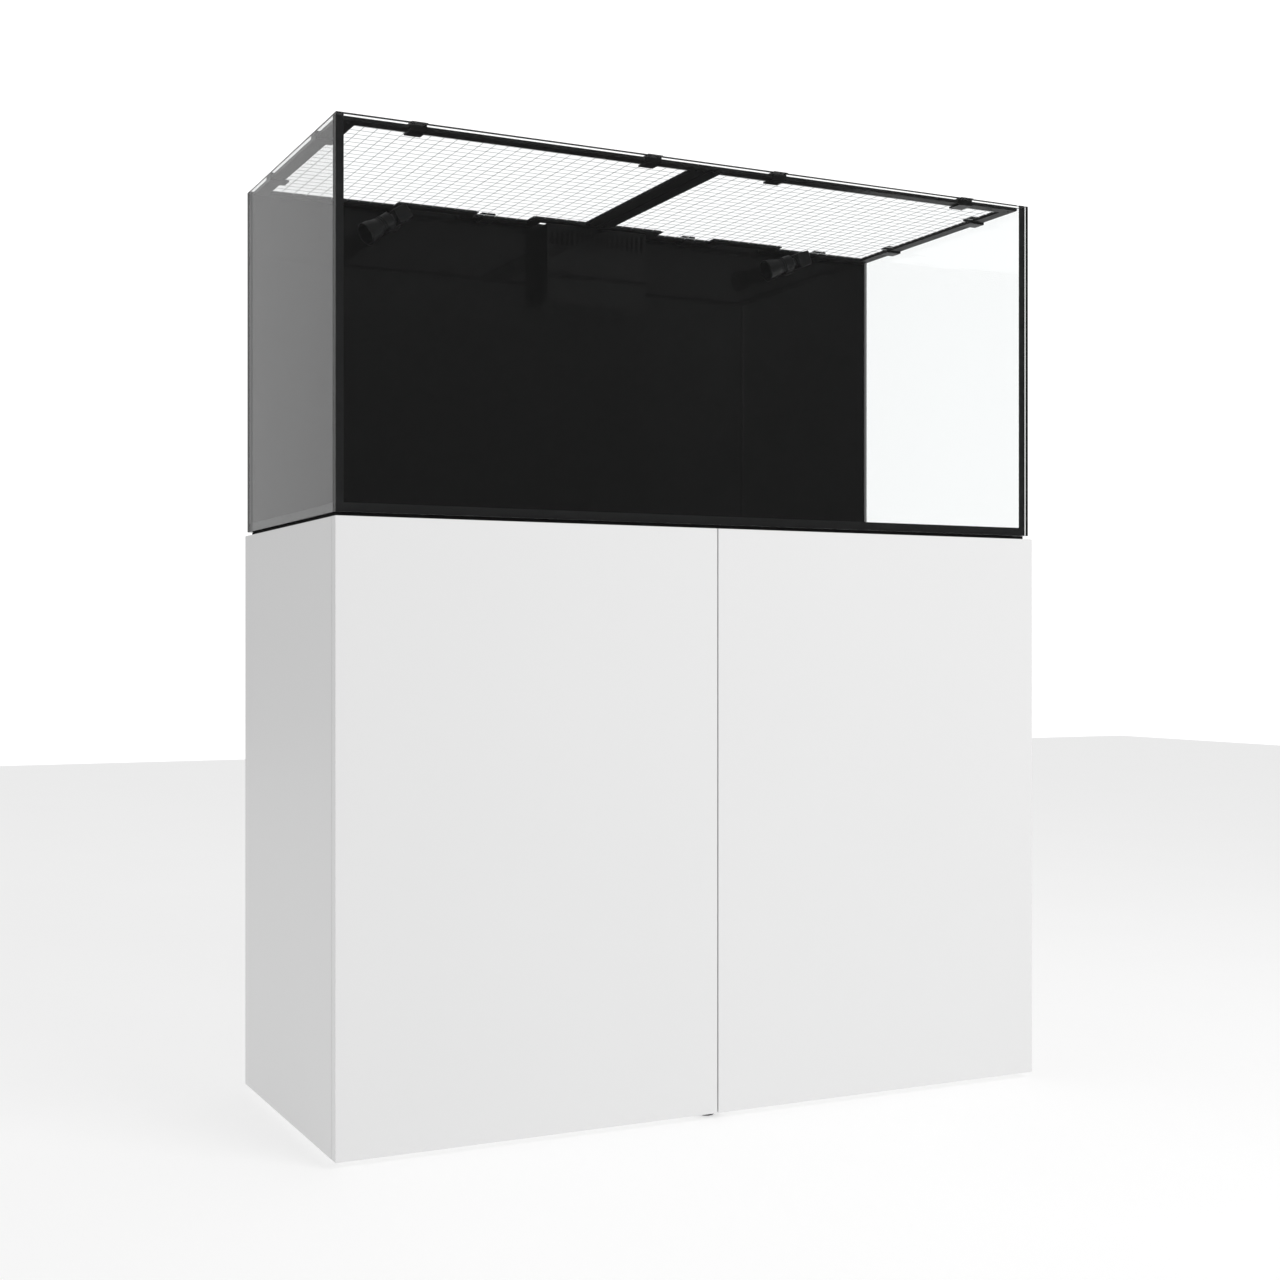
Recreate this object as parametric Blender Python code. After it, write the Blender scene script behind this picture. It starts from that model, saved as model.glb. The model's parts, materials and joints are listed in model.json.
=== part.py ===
"""Reef aquarium on a two-door cabinet: glass tank, netted lid, overflow, return nozzles and a sump below."""

import math

import bmesh
import bpy
from mathutils import Matrix, Vector

# All sizes are in metres. X runs across the doors, Y from the doors to the back, Z up from the floor.
# Depths are measured from the doors' front face, and depth() turns them into Y.
SEAT = 0.0003  # left between two pieces that touch

# Cabinet
CABINET_WIDTH = 1.200
CABINET_DEPTH = 0.503  # over the doors
CABINET_HEIGHT = 0.891  # without the feet
FLOOR_GAP = 0.010  # under the cabinet
BOARD = 0.018
BACK_BOARD = 0.016
DOOR_BOARD = 0.017
DOOR_SEAM = 0.0016  # between the doors and the carcass
DOOR_MEETING_GAP = 0.002
POST_WIDTH = 0.060
POST_DEPTH = 0.036
PIPE_OPENING_MARGIN = 0.0264  # round the drains where they pass the back panel
PIPE_OPENING_CORNER = 0.012
RETURN_HOLE_MARGIN = 0.010  # round the return pipe

# Tank
TANK_SIDE_SETBACK = 0.0027  # of the side panes from the cabinet's sides
TANK_SETBACK = 0.007  # of the front pane behind the doors
TANK_REAR_SETBACK = 0.003  # of the back pane from the cabinet's back
PANE_HEIGHT = 0.5524
GLASS = 0.012
BOND = 0.0012  # silicone joint between two panes
BEAD = 0.0015  # leg of the silicone bead in an inside corner
SEAM_INSET = 0.003  # of the upright joints from the side panes' outer faces
MAT = 0.0052
MAT_LAP = 0.006  # of the mat under the upright panes

# Lid
LID_THICKNESS = 0.0056
LID_DROP = 0.0071  # of the frame's underside below the rim
LID_CLEARANCE = 0.0032  # between the frame and the panes
LID_MEMBER = 0.021
LID_CROSSBAR = 0.0245  # half of the double bar in the middle
LID_MEETING_GAP = 0.001
NET_THICKNESS = 0.001
NOTCH_SHARES = {"left": -0.4872, "right": 0.5073}  # of half the tank: recesses in the rear edge
NOTCH_WIDTH = 0.138
NOTCH_REACH = 0.0210  # of a recess in from the rear edge
WEIR_NOTCH_WIDTH = 0.244
WEIR_NOTCH_REACH = 0.031

# Clips that hang the lid on the rim
CLIP_WIDTH = 0.025
CLIP_PLATE = 0.0015
CLIP_SETBACK = 0.003  # of the plate's end from the pane's outer face
CLIP_LEDGE = 0.0027
CLIP_LEDGE_REACH = 0.006  # past the frame's inner edge
CLIP_TOP_REACH = 0.002
FRONT_CLIP_SHARES = {"left": (-0.7936, -0.1691), "right": (0.1976, 0.7952)}  # of half the width
REAR_CLIP_SHARES = {"left": (-0.3231,), "right": (0.3231, 0.7869)}
SIDE_CLIP_SHARES = (-0.507, 0.507)  # of half the tank's depth

# Overflow
WEIR_WIDTH = 0.189
WEIR_REACH = 0.049  # in front of the back pane
WEIR_HEIGHT = 0.135
WEIR_TOP = 0.0094  # below the rim
WEIR_WALL = 0.004
COMB_HEIGHT = 0.040
COMB_SLOTS = 19
COMB_SLOT_WIDTH = 0.0045
COMB_SLOT_HEIGHT = 0.0295
COMB_TOP_BAND = 0.0055
COMB_BRIDGE = 0.002  # height of the bar between the comb and its tongue
COMB_TONGUE = 0.012
REAR_BOX_WIDTH = 0.220
REAR_BOX_HEIGHT = 0.150
REAR_BOX_TOP = 0.0194  # below the rim
REAR_BOX_WALL = 0.005
SLEEVE_RADIUS = 0.020
SLEEVE_BORE = 0.015
SLEEVE_REACH = 0.006  # past the back pane, into the weir box
SLEEVE_SIDE_GAP = 0.0155  # between a sleeve and the weir box's end wall
SLEEVE_DROP = 0.085  # of the sleeves' axes below the weir box's top

# Pipes
DRAIN_RADIUS = 0.0165
DRAIN_PLACES = {"main_drain": -0.075, "emergency_drain": -0.010}
DRAIN_STAND = {"main_drain": 0.070, "emergency_drain": 0.110}  # above the rear box's floor
DRAIN_BEND_INSIDE = 0.0175  # radius on the inside of a bend
DRAIN_RETURN_GAP = 0.0015  # between the drains and the return's level run
DRAIN_WALL_GAP = 0.0088  # between the drains and the rear box's back wall
DRAIN_CROSSING_DROP = 0.161  # of the pipes below the cabinet's top where they pass its back
RETURN_RADIUS = 0.0125
RETURN_BEND_INSIDE = 0.002
RETURN_STRAIGHT = 0.0017  # between a nozzle's stub and the bend behind it
RETURN_RUN_DROP = 0.2034  # of the level run below the rim
RETURN_CROSSING_DROP = 0.131
RISER_BEND_INSIDE = 0.0075

# Drain valve
VALVE_DROP = 0.200  # below the drains' crossing
VALVE_BODY = 0.048
VALVE_CORNER = 0.006
VALVE_BONNET_RADIUS = 0.014
VALVE_BONNET_REACH = 0.046
VALVE_STEM_RADIUS = 0.004
VALVE_STEM_REACH = 0.014
KNOB_RADIUS = 0.021
KNOB_THICKNESS = 0.016
KNOB_LOBES = 6
KNOB_DIP = 0.10  # share of the radius lost between two lobes

# Return nozzles
NOZZLE_SHARES = {"left": -0.6027, "right": 0.6881}  # of half the tank's width
NOZZLE_YAW = {"left": 193.0, "right": 179.5}  # degrees, from +X towards +Y
NOZZLE_PITCH = {"left": -32.5, "right": -20.0}  # degrees
NOZZLE_DROP = 0.0253  # of the axis below the rim
NOZZLE_ELBOW_BACK = 0.0425  # the elbow's rear face, in front of the back pane
ELBOW_SIZE = 0.026
ELBOW_EDGE = 0.003
SPIGOT_RADIUS = 0.008
SPIGOT_LENGTH = 0.010
STUB_RADIUS = 0.013
STUB_BEHIND = 0.003
FLANGE_RADIUS = 0.0178
FLANGE = 0.005
NECK_RADIUS = 0.007
BALL_DISTANCE = 0.032
BALL_RADIUS = 0.012
NOZZLE_LENGTH = 0.080
MOUTH_RADIUS = 0.019
MOUTH_WALL = 0.0025
SOCKET_RADIUS = 0.0150
SOCKET_LEAD = 0.007  # of the socket's rim behind the ball's centre
SOCKET_FLOOR = 0.003  # between the ball and the mouth's hollow
WAIST_AHEAD = 0.010  # of the waist in front of the ball
WAIST_DEPTH = 0.002
FLARE_LENGTH = 0.006  # from the waist to the mouth's full width

# Door hinges and latches
CUP_RADIUS = 0.0175
CUP_DEPTH = 0.0115
CUP_POCKET = 0.021
CUP_SETBACK = 0.0225  # of the cup's centre from the door's edge
HINGE_FROM_END = 0.100
ARM_WIDTH = 0.016
ARM_HEIGHT = 0.016
ARM_LENGTH = 0.074
ARM_START = 0.0124  # behind the carcass's front edge
ARM_PLATE = 0.0035
ARM_PLATE_LENGTH = 0.040
ARM_PLATE_HEIGHT = 0.044
ARM_PLATE_INSET = 0.004  # of the plate from the arm's rear end
LINK_HEIGHT = 0.010
LINK_STRAP = 0.005
LINK_FOOT = 0.008  # width of the strap where it leaves the cup
LINK_KNEE = 0.007  # width of the strap at its knee
LINK_KNEE_REACH = 0.002  # of the knee past the carcass's front edge
LATCH_RADIUS = 0.005
LATCH_LENGTH = 0.026
LATCH_TRAVEL = 0.006
LATCH_OFFSET = 0.018  # from the middle of the cabinet
LATCH_DROP = 0.101  # below the cabinet's top

# Feet
FOOT_RADIUS = 0.014
FOOT_PAD = 0.007
FOOT_STEM_RADIUS = 0.004
FOOT_STEM_TOP = 0.002  # below the floor panel's upper face
FOOT_SIDE_INSET = 0.070
FOOT_FRONT_INSET = 0.075
FOOT_REAR_INSET = 0.060
CENTRE_FOOT_INSET = 0.038

# Sump
SUMP_LEFT = -0.120
SUMP_SIDE_GAP = 0.102  # to the right side panel
SUMP_FRONT = 0.120  # behind the doors' front face
SUMP_REAR_GAP = 0.063  # to the cabinet's back
SUMP_HEIGHT = 0.340
SUMP_WALL = 0.006
CHAMBER_SHARES = (0.270, 0.4035, 0.0526)  # of the clear width; the last chamber takes what is left
BAFFLE_DROP = 0.070
PUMP_RADIUS = 0.034
PUMP_LENGTH = 0.096
PUMP_BASE = 0.008
PUMP_BASE_INSET = 0.006  # of the base from the pump's ends
PUMP_CRADLE = 0.006  # of the base up round the pump
PUMP_OUTLET_TOP = 0.130  # above the sump's floor
PUMP_OUTLET_RADIUS = 0.0145

# What follows from them
RETURN_BEND = RETURN_RADIUS + RETURN_BEND_INSIDE
RISER_BEND = RETURN_RADIUS + RISER_BEND_INSIDE
RISER_RADIUS = RETURN_RADIUS + SEAT
RETURN_BEHIND = STUB_BEHIND + SEAT + RETURN_STRAIGHT + RETURN_BEND  # behind the tank
DRAIN_BEND = DRAIN_RADIUS + DRAIN_BEND_INSIDE
DRAIN_BEHIND = RETURN_BEHIND + RETURN_RADIUS + DRAIN_RETURN_GAP + DRAIN_RADIUS
REAR_BOX_DEPTH = DRAIN_BEHIND + DRAIN_RADIUS + DRAIN_WALL_GAP + REAR_BOX_WALL - SEAT
TANK_WIDTH = CABINET_WIDTH - 2 * TANK_SIDE_SETBACK
TANK_BACK = CABINET_DEPTH - TANK_REAR_SETBACK
TANK_DEPTH = TANK_BACK - TANK_SETBACK
TOTAL_DEPTH = TANK_BACK + SEAT + REAR_BOX_DEPTH
HALF_CABINET = CABINET_WIDTH / 2
CABINET_TOP = FLOOR_GAP + CABINET_HEIGHT
DRAIN_CROSSING = CABINET_TOP - DRAIN_CROSSING_DROP
RETURN_CROSSING = CABINET_TOP - RETURN_CROSSING_DROP
VALVE_HEIGHT = DRAIN_CROSSING - VALVE_DROP
LATCH_HEIGHT = CABINET_TOP - LATCH_DROP
CARCASS_FRONT = DOOR_BOARD + DOOR_SEAM
PANE_BOTTOM = CABINET_TOP + MAT + 2 * SEAT
RIM = PANE_BOTTOM + PANE_HEIGHT
HALF_TANK = TANK_WIDTH / 2
MAT_INSET = GLASS - MAT_LAP
INNER_HALF = HALF_TANK - GLASS
INNER_FRONT = TANK_SETBACK + GLASS
INNER_BACK = TANK_BACK - GLASS
LID_BOTTOM = RIM - LID_DROP
LID_TOP = LID_BOTTOM + LID_THICKNESS
LID_HALF = INNER_HALF - LID_CLEARANCE
LID_FRONT = INNER_FRONT + LID_CLEARANCE
LID_BACK = INNER_BACK - LID_CLEARANCE
NOTCH_CENTRES = {side: share * HALF_TANK for side, share in NOTCH_SHARES.items()}
FRONT_CLIPS = {
    side: [share * HALF_TANK for share in shares] for side, shares in FRONT_CLIP_SHARES.items()
}
REAR_CLIPS = {
    side: [share * HALF_TANK for share in shares] for side, shares in REAR_CLIP_SHARES.items()
}
SIDE_CLIPS = [share * TANK_DEPTH / 2 for share in SIDE_CLIP_SHARES]
WEIR_FRONT = INNER_BACK - WEIR_REACH
SLEEVE_SPACING = WEIR_WIDTH - 2 * (WEIR_WALL + SLEEVE_SIDE_GAP + SLEEVE_RADIUS)
COMB_SLOT_PITCH = (WEIR_WIDTH - 2 * WEIR_WALL) / COMB_SLOTS
NOZZLE_PLACES = {side: share * HALF_TANK for side, share in NOZZLE_SHARES.items()}
NOZZLE_AXIS = RIM - NOZZLE_DROP
ELBOW_BACK = INNER_BACK - NOZZLE_ELBOW_BACK
REAR_BOX_FLOOR = RIM - REAR_BOX_TOP - REAR_BOX_HEIGHT
SUMP_BOTTOM = FLOOR_GAP + BOARD + SEAT
SUMP_FLOOR = SUMP_BOTTOM + SUMP_WALL
SUMP_WIDTH = HALF_CABINET - BOARD - SUMP_SIDE_GAP - SUMP_LEFT
SUMP_DEPTH = CABINET_DEPTH - SUMP_REAR_GAP - SUMP_FRONT
SUMP_CLEAR = SUMP_WIDTH - (len(CHAMBER_SHARES) + 2) * SUMP_WALL
SUMP_CHAMBERS = [share * SUMP_CLEAR for share in CHAMBER_SHARES]
SUMP_MIDDLE = SUMP_FRONT + SUMP_DEPTH / 2
DRAIN_DOWN = SUMP_MIDDLE  # where the drains drop into the sump
PUMP_CHAMBER_LEFT = SUMP_LEFT + sum(SUMP_CHAMBERS) + (len(SUMP_CHAMBERS) + 1) * SUMP_WALL
PUMP_CENTRE = (PUMP_CHAMBER_LEFT + SUMP_LEFT + SUMP_WIDTH - SUMP_WALL) / 2
SIDES = {"left": -1, "right": 1}


def depth(distance):
    """Y of a distance behind the doors' front face, with the whole depth centred on the origin."""
    return distance - TOTAL_DEPTH / 2


def clear_scene():
    for item in list(bpy.data.objects):
        bpy.data.objects.remove(item, do_unlink=True)


def finish(name, colour, roughness, metallic=0.0, transmission=0.0):
    """The Principled material of one sub-part."""
    material = bpy.data.materials.new(name)
    material.use_nodes = True
    shader = material.node_tree.nodes["Principled BSDF"]
    shader.inputs["Base Color"].default_value = (*colour, 1.0)
    shader.inputs["Roughness"].default_value = roughness
    shader.inputs["Metallic"].default_value = metallic
    shader.inputs["Transmission Weight"].default_value = transmission
    material.diffuse_color = (*colour, 1.0 - transmission / 2)
    return material


def glass(name):
    return finish(name, (0.93, 0.96, 0.95), 0.02, transmission=0.95)


def black_plastic(name):
    return finish(name, (0.012, 0.012, 0.013), 0.35)


def white_board(name):
    return finish(name, (0.82, 0.82, 0.82), 0.45)


def steel(name):
    return finish(name, (0.55, 0.56, 0.58), 0.3, metallic=1.0)


def add(name, mesh, material=None):
    """Links a mesh as an object. Without a material it is a helper that a Boolean uses."""
    item = bpy.data.objects.new(name, mesh)
    bpy.context.scene.collection.objects.link(item)
    if material is None:
        item.hide_render = True
        item.display_type = "WIRE"
    else:
        mesh.materials.append(material)
    return item


def mesh_of(name, form):
    bmesh.ops.recalc_face_normals(form, faces=form.faces)
    mesh = bpy.data.meshes.new(name)
    form.to_mesh(mesh)
    form.free()
    return mesh


def box(name, low, high, material=None):
    """A block between two corners."""
    low, high = Vector(low), Vector(high)
    form = bmesh.new()
    bmesh.ops.create_cube(form, size=1.0)
    bmesh.ops.scale(form, vec=high - low, verts=form.verts)
    bmesh.ops.translate(form, vec=(low + high) / 2, verts=form.verts)
    return add(name, mesh_of(name, form), material)


def prism(name, outline, direction, material=None):
    """A flat outline of points, pushed along a direction."""
    form = bmesh.new()
    face = form.faces.new([form.verts.new(point) for point in outline])
    pushed = bmesh.ops.extrude_face_region(form, geom=[face])["geom"]
    moved = [part for part in pushed if isinstance(part, bmesh.types.BMVert)]
    bmesh.ops.translate(form, vec=direction, verts=moved)
    return add(name, mesh_of(name, form), material)


def lathe(name, profile, place, direction, material=None, sides=24):
    """A profile of (radius, distance) points turned about the line through place along direction."""
    form = bmesh.new()
    points = [form.verts.new((radius, 0.0, along)) for radius, along in profile]
    edges = [form.edges.new(pair) for pair in zip(points, points[1:])]
    if profile[0][0] or profile[-1][0]:
        edges.append(form.edges.new((points[-1], points[0])))
    bmesh.ops.spin(
        form,
        geom=points + edges,
        axis=(0, 0, 1),
        cent=(0, 0, 0),
        angle=math.tau,
        steps=sides,
        use_merge=True,
    )
    bmesh.ops.remove_doubles(form, verts=form.verts, dist=1e-7)
    mesh = mesh_of(name, form)
    mesh.shade_smooth()
    mesh.set_sharp_from_angle(angle=math.radians(40))
    item = add(name, mesh, material)
    turn = Vector((0, 0, 1)).rotation_difference(Vector(direction))
    item.matrix_world = Matrix.Translation(Vector(place)) @ turn.to_matrix().to_4x4()
    return item


def rod(name, start, end, radius, material=None, sides=24):
    """A plain round bar between two points."""
    start, end = Vector(start), Vector(end)
    length = (end - start).length
    profile = [(0.0, 0.0), (radius, 0.0), (radius, length), (0.0, length)]
    return lathe(name, profile, start, end - start, material, sides)


def rounded_route(corners, bend, steps=6):
    """Corner points with each inner corner replaced by an arc of the bend radius."""
    corners = [Vector(corner) for corner in corners]
    route = [corners[0]]
    for before, corner, after in zip(corners, corners[1:], corners[2:]):
        incoming = (corner - before).normalized()
        outgoing = (after - corner).normalized()
        angle = incoming.angle(outgoing)
        start = corner - incoming * bend * math.tan(angle / 2)
        centre = start + (outgoing - incoming * incoming.dot(outgoing)).normalized() * bend
        axis = incoming.cross(outgoing).normalized()
        for step in range(steps + 1):
            turn = Matrix.Rotation(angle * step / steps, 3, axis)
            route.append(centre + turn @ (start - centre))
    route.append(corners[-1])
    return route


def tube(name, route, radius, material=None, sides=12):
    """A solid pipe of constant section along a route of points."""
    form = bmesh.new()
    count = len(route)
    tangents = []
    for index, point in enumerate(route):
        ahead = route[min(index + 1, count - 1)] - point
        behind = point - route[max(index - 1, 0)]
        tangents.append((ahead.normalized() + behind.normalized()).normalized())
    side = tangents[0].orthogonal().normalized()
    rings = []
    for index, (point, tangent) in enumerate(zip(route, tangents)):
        if index:
            side = tangents[index - 1].rotation_difference(tangent) @ side
        spin = [Matrix.Rotation(math.tau * step / sides, 3, tangent) for step in range(sides)]
        rings.append([form.verts.new(point + radius * (turn @ side)) for turn in spin])
    for ring, following in zip(rings, rings[1:]):
        for step in range(sides):
            ahead = (step + 1) % sides
            form.faces.new((ring[step], ring[ahead], following[ahead], following[step]))
    form.faces.new(rings[0])
    form.faces.new(rings[-1])
    mesh = mesh_of(name, form)
    mesh.shade_smooth()
    mesh.set_sharp_from_angle(angle=math.radians(40))
    return add(name, mesh, material)


def combine(target, operation, others):
    """Adds one Boolean to the target for each helper."""
    for other in others:
        modifier = target.modifiers.new(other.name, "BOOLEAN")
        modifier.operation = operation
        modifier.solver = "MANIFOLD"
        modifier.object = other


def cut(target, *cutters):
    combine(target, "DIFFERENCE", cutters)


def join(target, *helpers):
    combine(target, "UNION", helpers)


def pivot(item, place):
    """Moves an object's origin to the axis that it turns on, leaving its shape where it is."""
    place = Vector(place)
    offset = item.matrix_world.inverted() @ place
    item.data.transform(Matrix.Translation(-offset))
    item.matrix_world = Matrix.Translation(place) @ item.matrix_world.to_3x3().to_4x4()


def ease(item, width, segments=1):
    """Takes the sharpness off an object's edges."""
    modifier = item.modifiers.new("Edges", "BEVEL")
    modifier.width = width
    modifier.segments = segments
    modifier.limit_method = "ANGLE"


def make_carcass():
    inner = HALF_CABINET - BOARD
    bottom, back = FLOOR_GAP, CABINET_DEPTH
    for side, sign in SIDES.items():
        low, high = sorted((sign * HALF_CABINET, sign * inner))
        name = f"{side}_side_panel"
        box(
            name,
            (low, depth(CARCASS_FRONT), bottom),
            (high, depth(back), CABINET_TOP),
            white_board(name),
        )
    reach = inner - SEAT
    floor_panel = box(
        "floor_panel",
        (-reach, depth(CARCASS_FRONT), bottom),
        (reach, depth(back), bottom + BOARD),
        white_board("floor_panel"),
    )
    for name, x, along in foot_places():
        hole = rod(
            f"{name}_hole",
            (x, depth(along), 0),
            (x, depth(along), bottom + 2 * BOARD),
            FOOT_STEM_RADIUS + SEAT,
            sides=16,
        )
        cut(floor_panel, hole)
    box(
        "top_panel",
        (-reach, depth(CARCASS_FRONT), CABINET_TOP - BOARD),
        (reach, depth(back), CABINET_TOP),
        white_board("top_panel"),
    )
    low_z = bottom + BOARD + SEAT
    high_z = CABINET_TOP - BOARD - SEAT
    back_panel = box(
        "back_panel",
        (-reach, depth(back - BACK_BOARD), low_z),
        (reach, depth(back), high_z),
        white_board("back_panel"),
    )
    opening_half = DRAIN_RADIUS + PIPE_OPENING_MARGIN
    drains = DRAIN_PLACES.values()
    pipe_opening = box(
        "pipe_opening",
        (min(drains) - opening_half, depth(back - 2 * BACK_BOARD), DRAIN_CROSSING - opening_half),
        (max(drains) + opening_half, depth(back + BACK_BOARD), DRAIN_CROSSING + opening_half),
    )
    ease(pipe_opening, PIPE_OPENING_CORNER, 3)
    return_hole = rod(
        "return_hole",
        (PUMP_CENTRE, depth(back - 2 * BACK_BOARD), RETURN_CROSSING),
        (PUMP_CENTRE, depth(back + BACK_BOARD), RETURN_CROSSING),
        RETURN_RADIUS + RETURN_HOLE_MARGIN,
    )
    cut(back_panel, pipe_opening, return_hole)
    post = box(
        "centre_post",
        (-POST_WIDTH / 2, depth(CARCASS_FRONT), low_z),
        (POST_WIDTH / 2, depth(CARCASS_FRONT + POST_DEPTH), high_z),
        white_board("centre_post"),
    )
    for side, sign in SIDES.items():
        x = sign * LATCH_OFFSET
        bore = rod(
            f"{side}_latch_bore",
            (x, depth(CARCASS_FRONT - BOARD), LATCH_HEIGHT),
            (x, depth(DOOR_BOARD + SEAT + LATCH_LENGTH + LATCH_TRAVEL + SEAT), LATCH_HEIGHT),
            LATCH_RADIUS + SEAT,
            sides=20,
        )
        cut(post, bore)


def make_latches():
    """Sprung plungers that push the doors off the carcass."""
    start = DOOR_BOARD + SEAT
    round_end = 0.0015
    for side, sign in SIDES.items():
        name = f"{side}_latch_plunger"
        profile = [
            (0.0, 0.0),
            (LATCH_RADIUS - round_end, 0.0),
            (LATCH_RADIUS, round_end),
            (LATCH_RADIUS, LATCH_LENGTH),
            (0.0, LATCH_LENGTH),
        ]
        place = (sign * LATCH_OFFSET, depth(start), LATCH_HEIGHT)
        lathe(name, profile, place, (0, 1, 0), black_plastic(name), sides=20)


def hinge_heights():
    return {
        "lower": FLOOR_GAP + HINGE_FROM_END,
        "upper": CABINET_TOP - HINGE_FROM_END,
    }


def make_doors():
    for side, sign in SIDES.items():
        name = f"{side}_door"
        low, high = sorted((sign * HALF_CABINET, sign * DOOR_MEETING_GAP / 2))
        door = box(
            name,
            (low, depth(0), FLOOR_GAP),
            (high, depth(DOOR_BOARD), CABINET_TOP),
            white_board(name),
        )
        cup_x = sign * (HALF_CABINET - CUP_SETBACK)
        for level, z in hinge_heights().items():
            bore = rod(
                f"{side}_{level}_cup_bore",
                (cup_x, depth(DOOR_BOARD - CUP_DEPTH), z),
                (cup_x, depth(2 * DOOR_BOARD), z),
                CUP_RADIUS,
            )
            cut(door, bore)
            make_hinge(side, sign, level, cup_x, z)
        pivot(door, (sign * HALF_CABINET, depth(DOOR_BOARD), 0))


def make_hinge(side, sign, level, cup_x, z):
    """A concealed hinge: the arm stays on the side panel, the cup and its link ride in the door."""
    wall = sign * (HALF_CABINET - BOARD)
    arm_start = CARCASS_FRONT + ARM_START
    arm_name = f"{side}_{level}_hinge_arm"
    low, high = sorted((wall - sign * SEAT, wall - sign * (SEAT + ARM_WIDTH)))
    arm = box(
        arm_name,
        (low, depth(arm_start), z - ARM_HEIGHT / 2),
        (high, depth(arm_start + ARM_LENGTH), z + ARM_HEIGHT / 2),
        steel(arm_name),
    )
    low, high = sorted((wall - sign * SEAT, wall - sign * (SEAT + ARM_PLATE)))
    plate = box(
        f"{arm_name}_plate",
        (low, depth(arm_start + ARM_LENGTH - ARM_PLATE_LENGTH), z - ARM_PLATE_HEIGHT / 2),
        (high, depth(arm_start + ARM_LENGTH - ARM_PLATE_INSET), z + ARM_PLATE_HEIGHT / 2),
    )
    join(arm, plate)

    cup_name = f"{side}_{level}_hinge_cup"
    cup_floor = DOOR_BOARD - CUP_DEPTH + SEAT
    cup = rod(
        cup_name,
        (cup_x, depth(cup_floor), z),
        (cup_x, depth(DOOR_BOARD), z),
        CUP_RADIUS - SEAT,
        steel(cup_name),
    )
    shell = 0.0015
    pocket_half = CUP_POCKET / 2
    pocket = box(
        f"{cup_name}_pocket",
        (cup_x - pocket_half, depth(cup_floor + shell), z - pocket_half),
        (cup_x + pocket_half, depth(2 * DOOR_BOARD), z + pocket_half),
    )
    link_tip = arm_start - SEAT
    knee = CARCASS_FRONT + LINK_KNEE_REACH
    outer = wall - sign * (SEAT + ARM_WIDTH)
    outline = [
        (cup_x - sign * LINK_FOOT / 2, cup_floor + shell / 2),
        (cup_x + sign * LINK_FOOT / 2, cup_floor + shell / 2),
        (outer + sign * LINK_KNEE, knee),
        (outer + sign * LINK_STRAP, link_tip),
        (outer, link_tip),
        (outer, knee),
    ]
    link = prism(
        f"{cup_name}_link",
        [(x, depth(along), z - LINK_HEIGHT / 2) for x, along in outline],
        (0, 0, LINK_HEIGHT),
    )
    cut(cup, pocket)
    join(cup, link)


def foot_places():
    """(name, x, depth) of the five levelling feet."""
    side_x = HALF_CABINET - FOOT_SIDE_INSET
    back = CABINET_DEPTH - FOOT_REAR_INSET
    return [
        ("front_left_foot", -side_x, FOOT_FRONT_INSET),
        ("front_right_foot", side_x, FOOT_FRONT_INSET),
        ("rear_left_foot", -side_x, back),
        ("rear_right_foot", side_x, back),
        ("centre_foot", 0.0, CENTRE_FOOT_INSET),
    ]


def make_feet():
    chamfer = 0.0015
    stem_top = FLOOR_GAP + BOARD - FOOT_STEM_TOP
    profile = [
        (0.0, 0.0),
        (FOOT_RADIUS - chamfer, 0.0),
        (FOOT_RADIUS, chamfer),
        (FOOT_RADIUS, FOOT_PAD - chamfer),
        (FOOT_RADIUS - chamfer, FOOT_PAD),
        (FOOT_STEM_RADIUS, FOOT_PAD),
        (FOOT_STEM_RADIUS, stem_top),
        (0.0, stem_top),
    ]
    for name, x, along in foot_places():
        lathe(name, profile, (x, depth(along), 0), (0, 0, 1), black_plastic(name), sides=16)


def make_panes():
    top = RIM
    side_front = INNER_FRONT + BOND
    side_back = INNER_BACK - BOND
    box(
        "front_pane",
        (-HALF_TANK, depth(TANK_SETBACK), PANE_BOTTOM),
        (HALF_TANK, depth(INNER_FRONT), top),
        glass("front_pane"),
    )
    back_pane = box(
        "back_pane",
        (-HALF_TANK, depth(INNER_BACK), PANE_BOTTOM),
        (HALF_TANK, depth(TANK_BACK), top),
        finish("back_pane", (0.010, 0.010, 0.011), 0.08),
    )
    ports = [(x, NOZZLE_AXIS, STUB_RADIUS) for x in NOZZLE_PLACES.values()]
    ports += [(x, sleeve_height(), SLEEVE_RADIUS) for x in sleeve_places()]
    for index, (x, z, radius) in enumerate(ports):
        start = (x, depth(INNER_BACK - GLASS), z)
        end = (x, depth(TANK_BACK + GLASS), z)
        cut(back_pane, rod(f"back_pane_port_{index}", start, end, radius + SEAT))
    for side, sign in SIDES.items():
        name = f"{side}_pane"
        low, high = sorted((sign * HALF_TANK, sign * INNER_HALF))
        box(
            name,
            (low, depth(side_front), PANE_BOTTOM),
            (high, depth(side_back), top),
            glass(name),
        )
    reach = INNER_HALF - BOND
    crop = BEAD  # the corners are cropped clear of the upright beads
    outline = []
    for side, end in ((-1, side_front), (1, side_front), (1, side_back), (-1, side_back)):
        inward = 1 if end == side_front else -1
        across = (side * (reach - crop), depth(end))
        along = (side * reach, depth(end + inward * crop))
        outline += [along, across] if side * inward < 0 else [across, along]
    prism(
        "base_pane",
        [(x, y, PANE_BOTTOM) for x, y in outline],
        (0, 0, GLASS),
        glass("base_pane"),
    )


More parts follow.
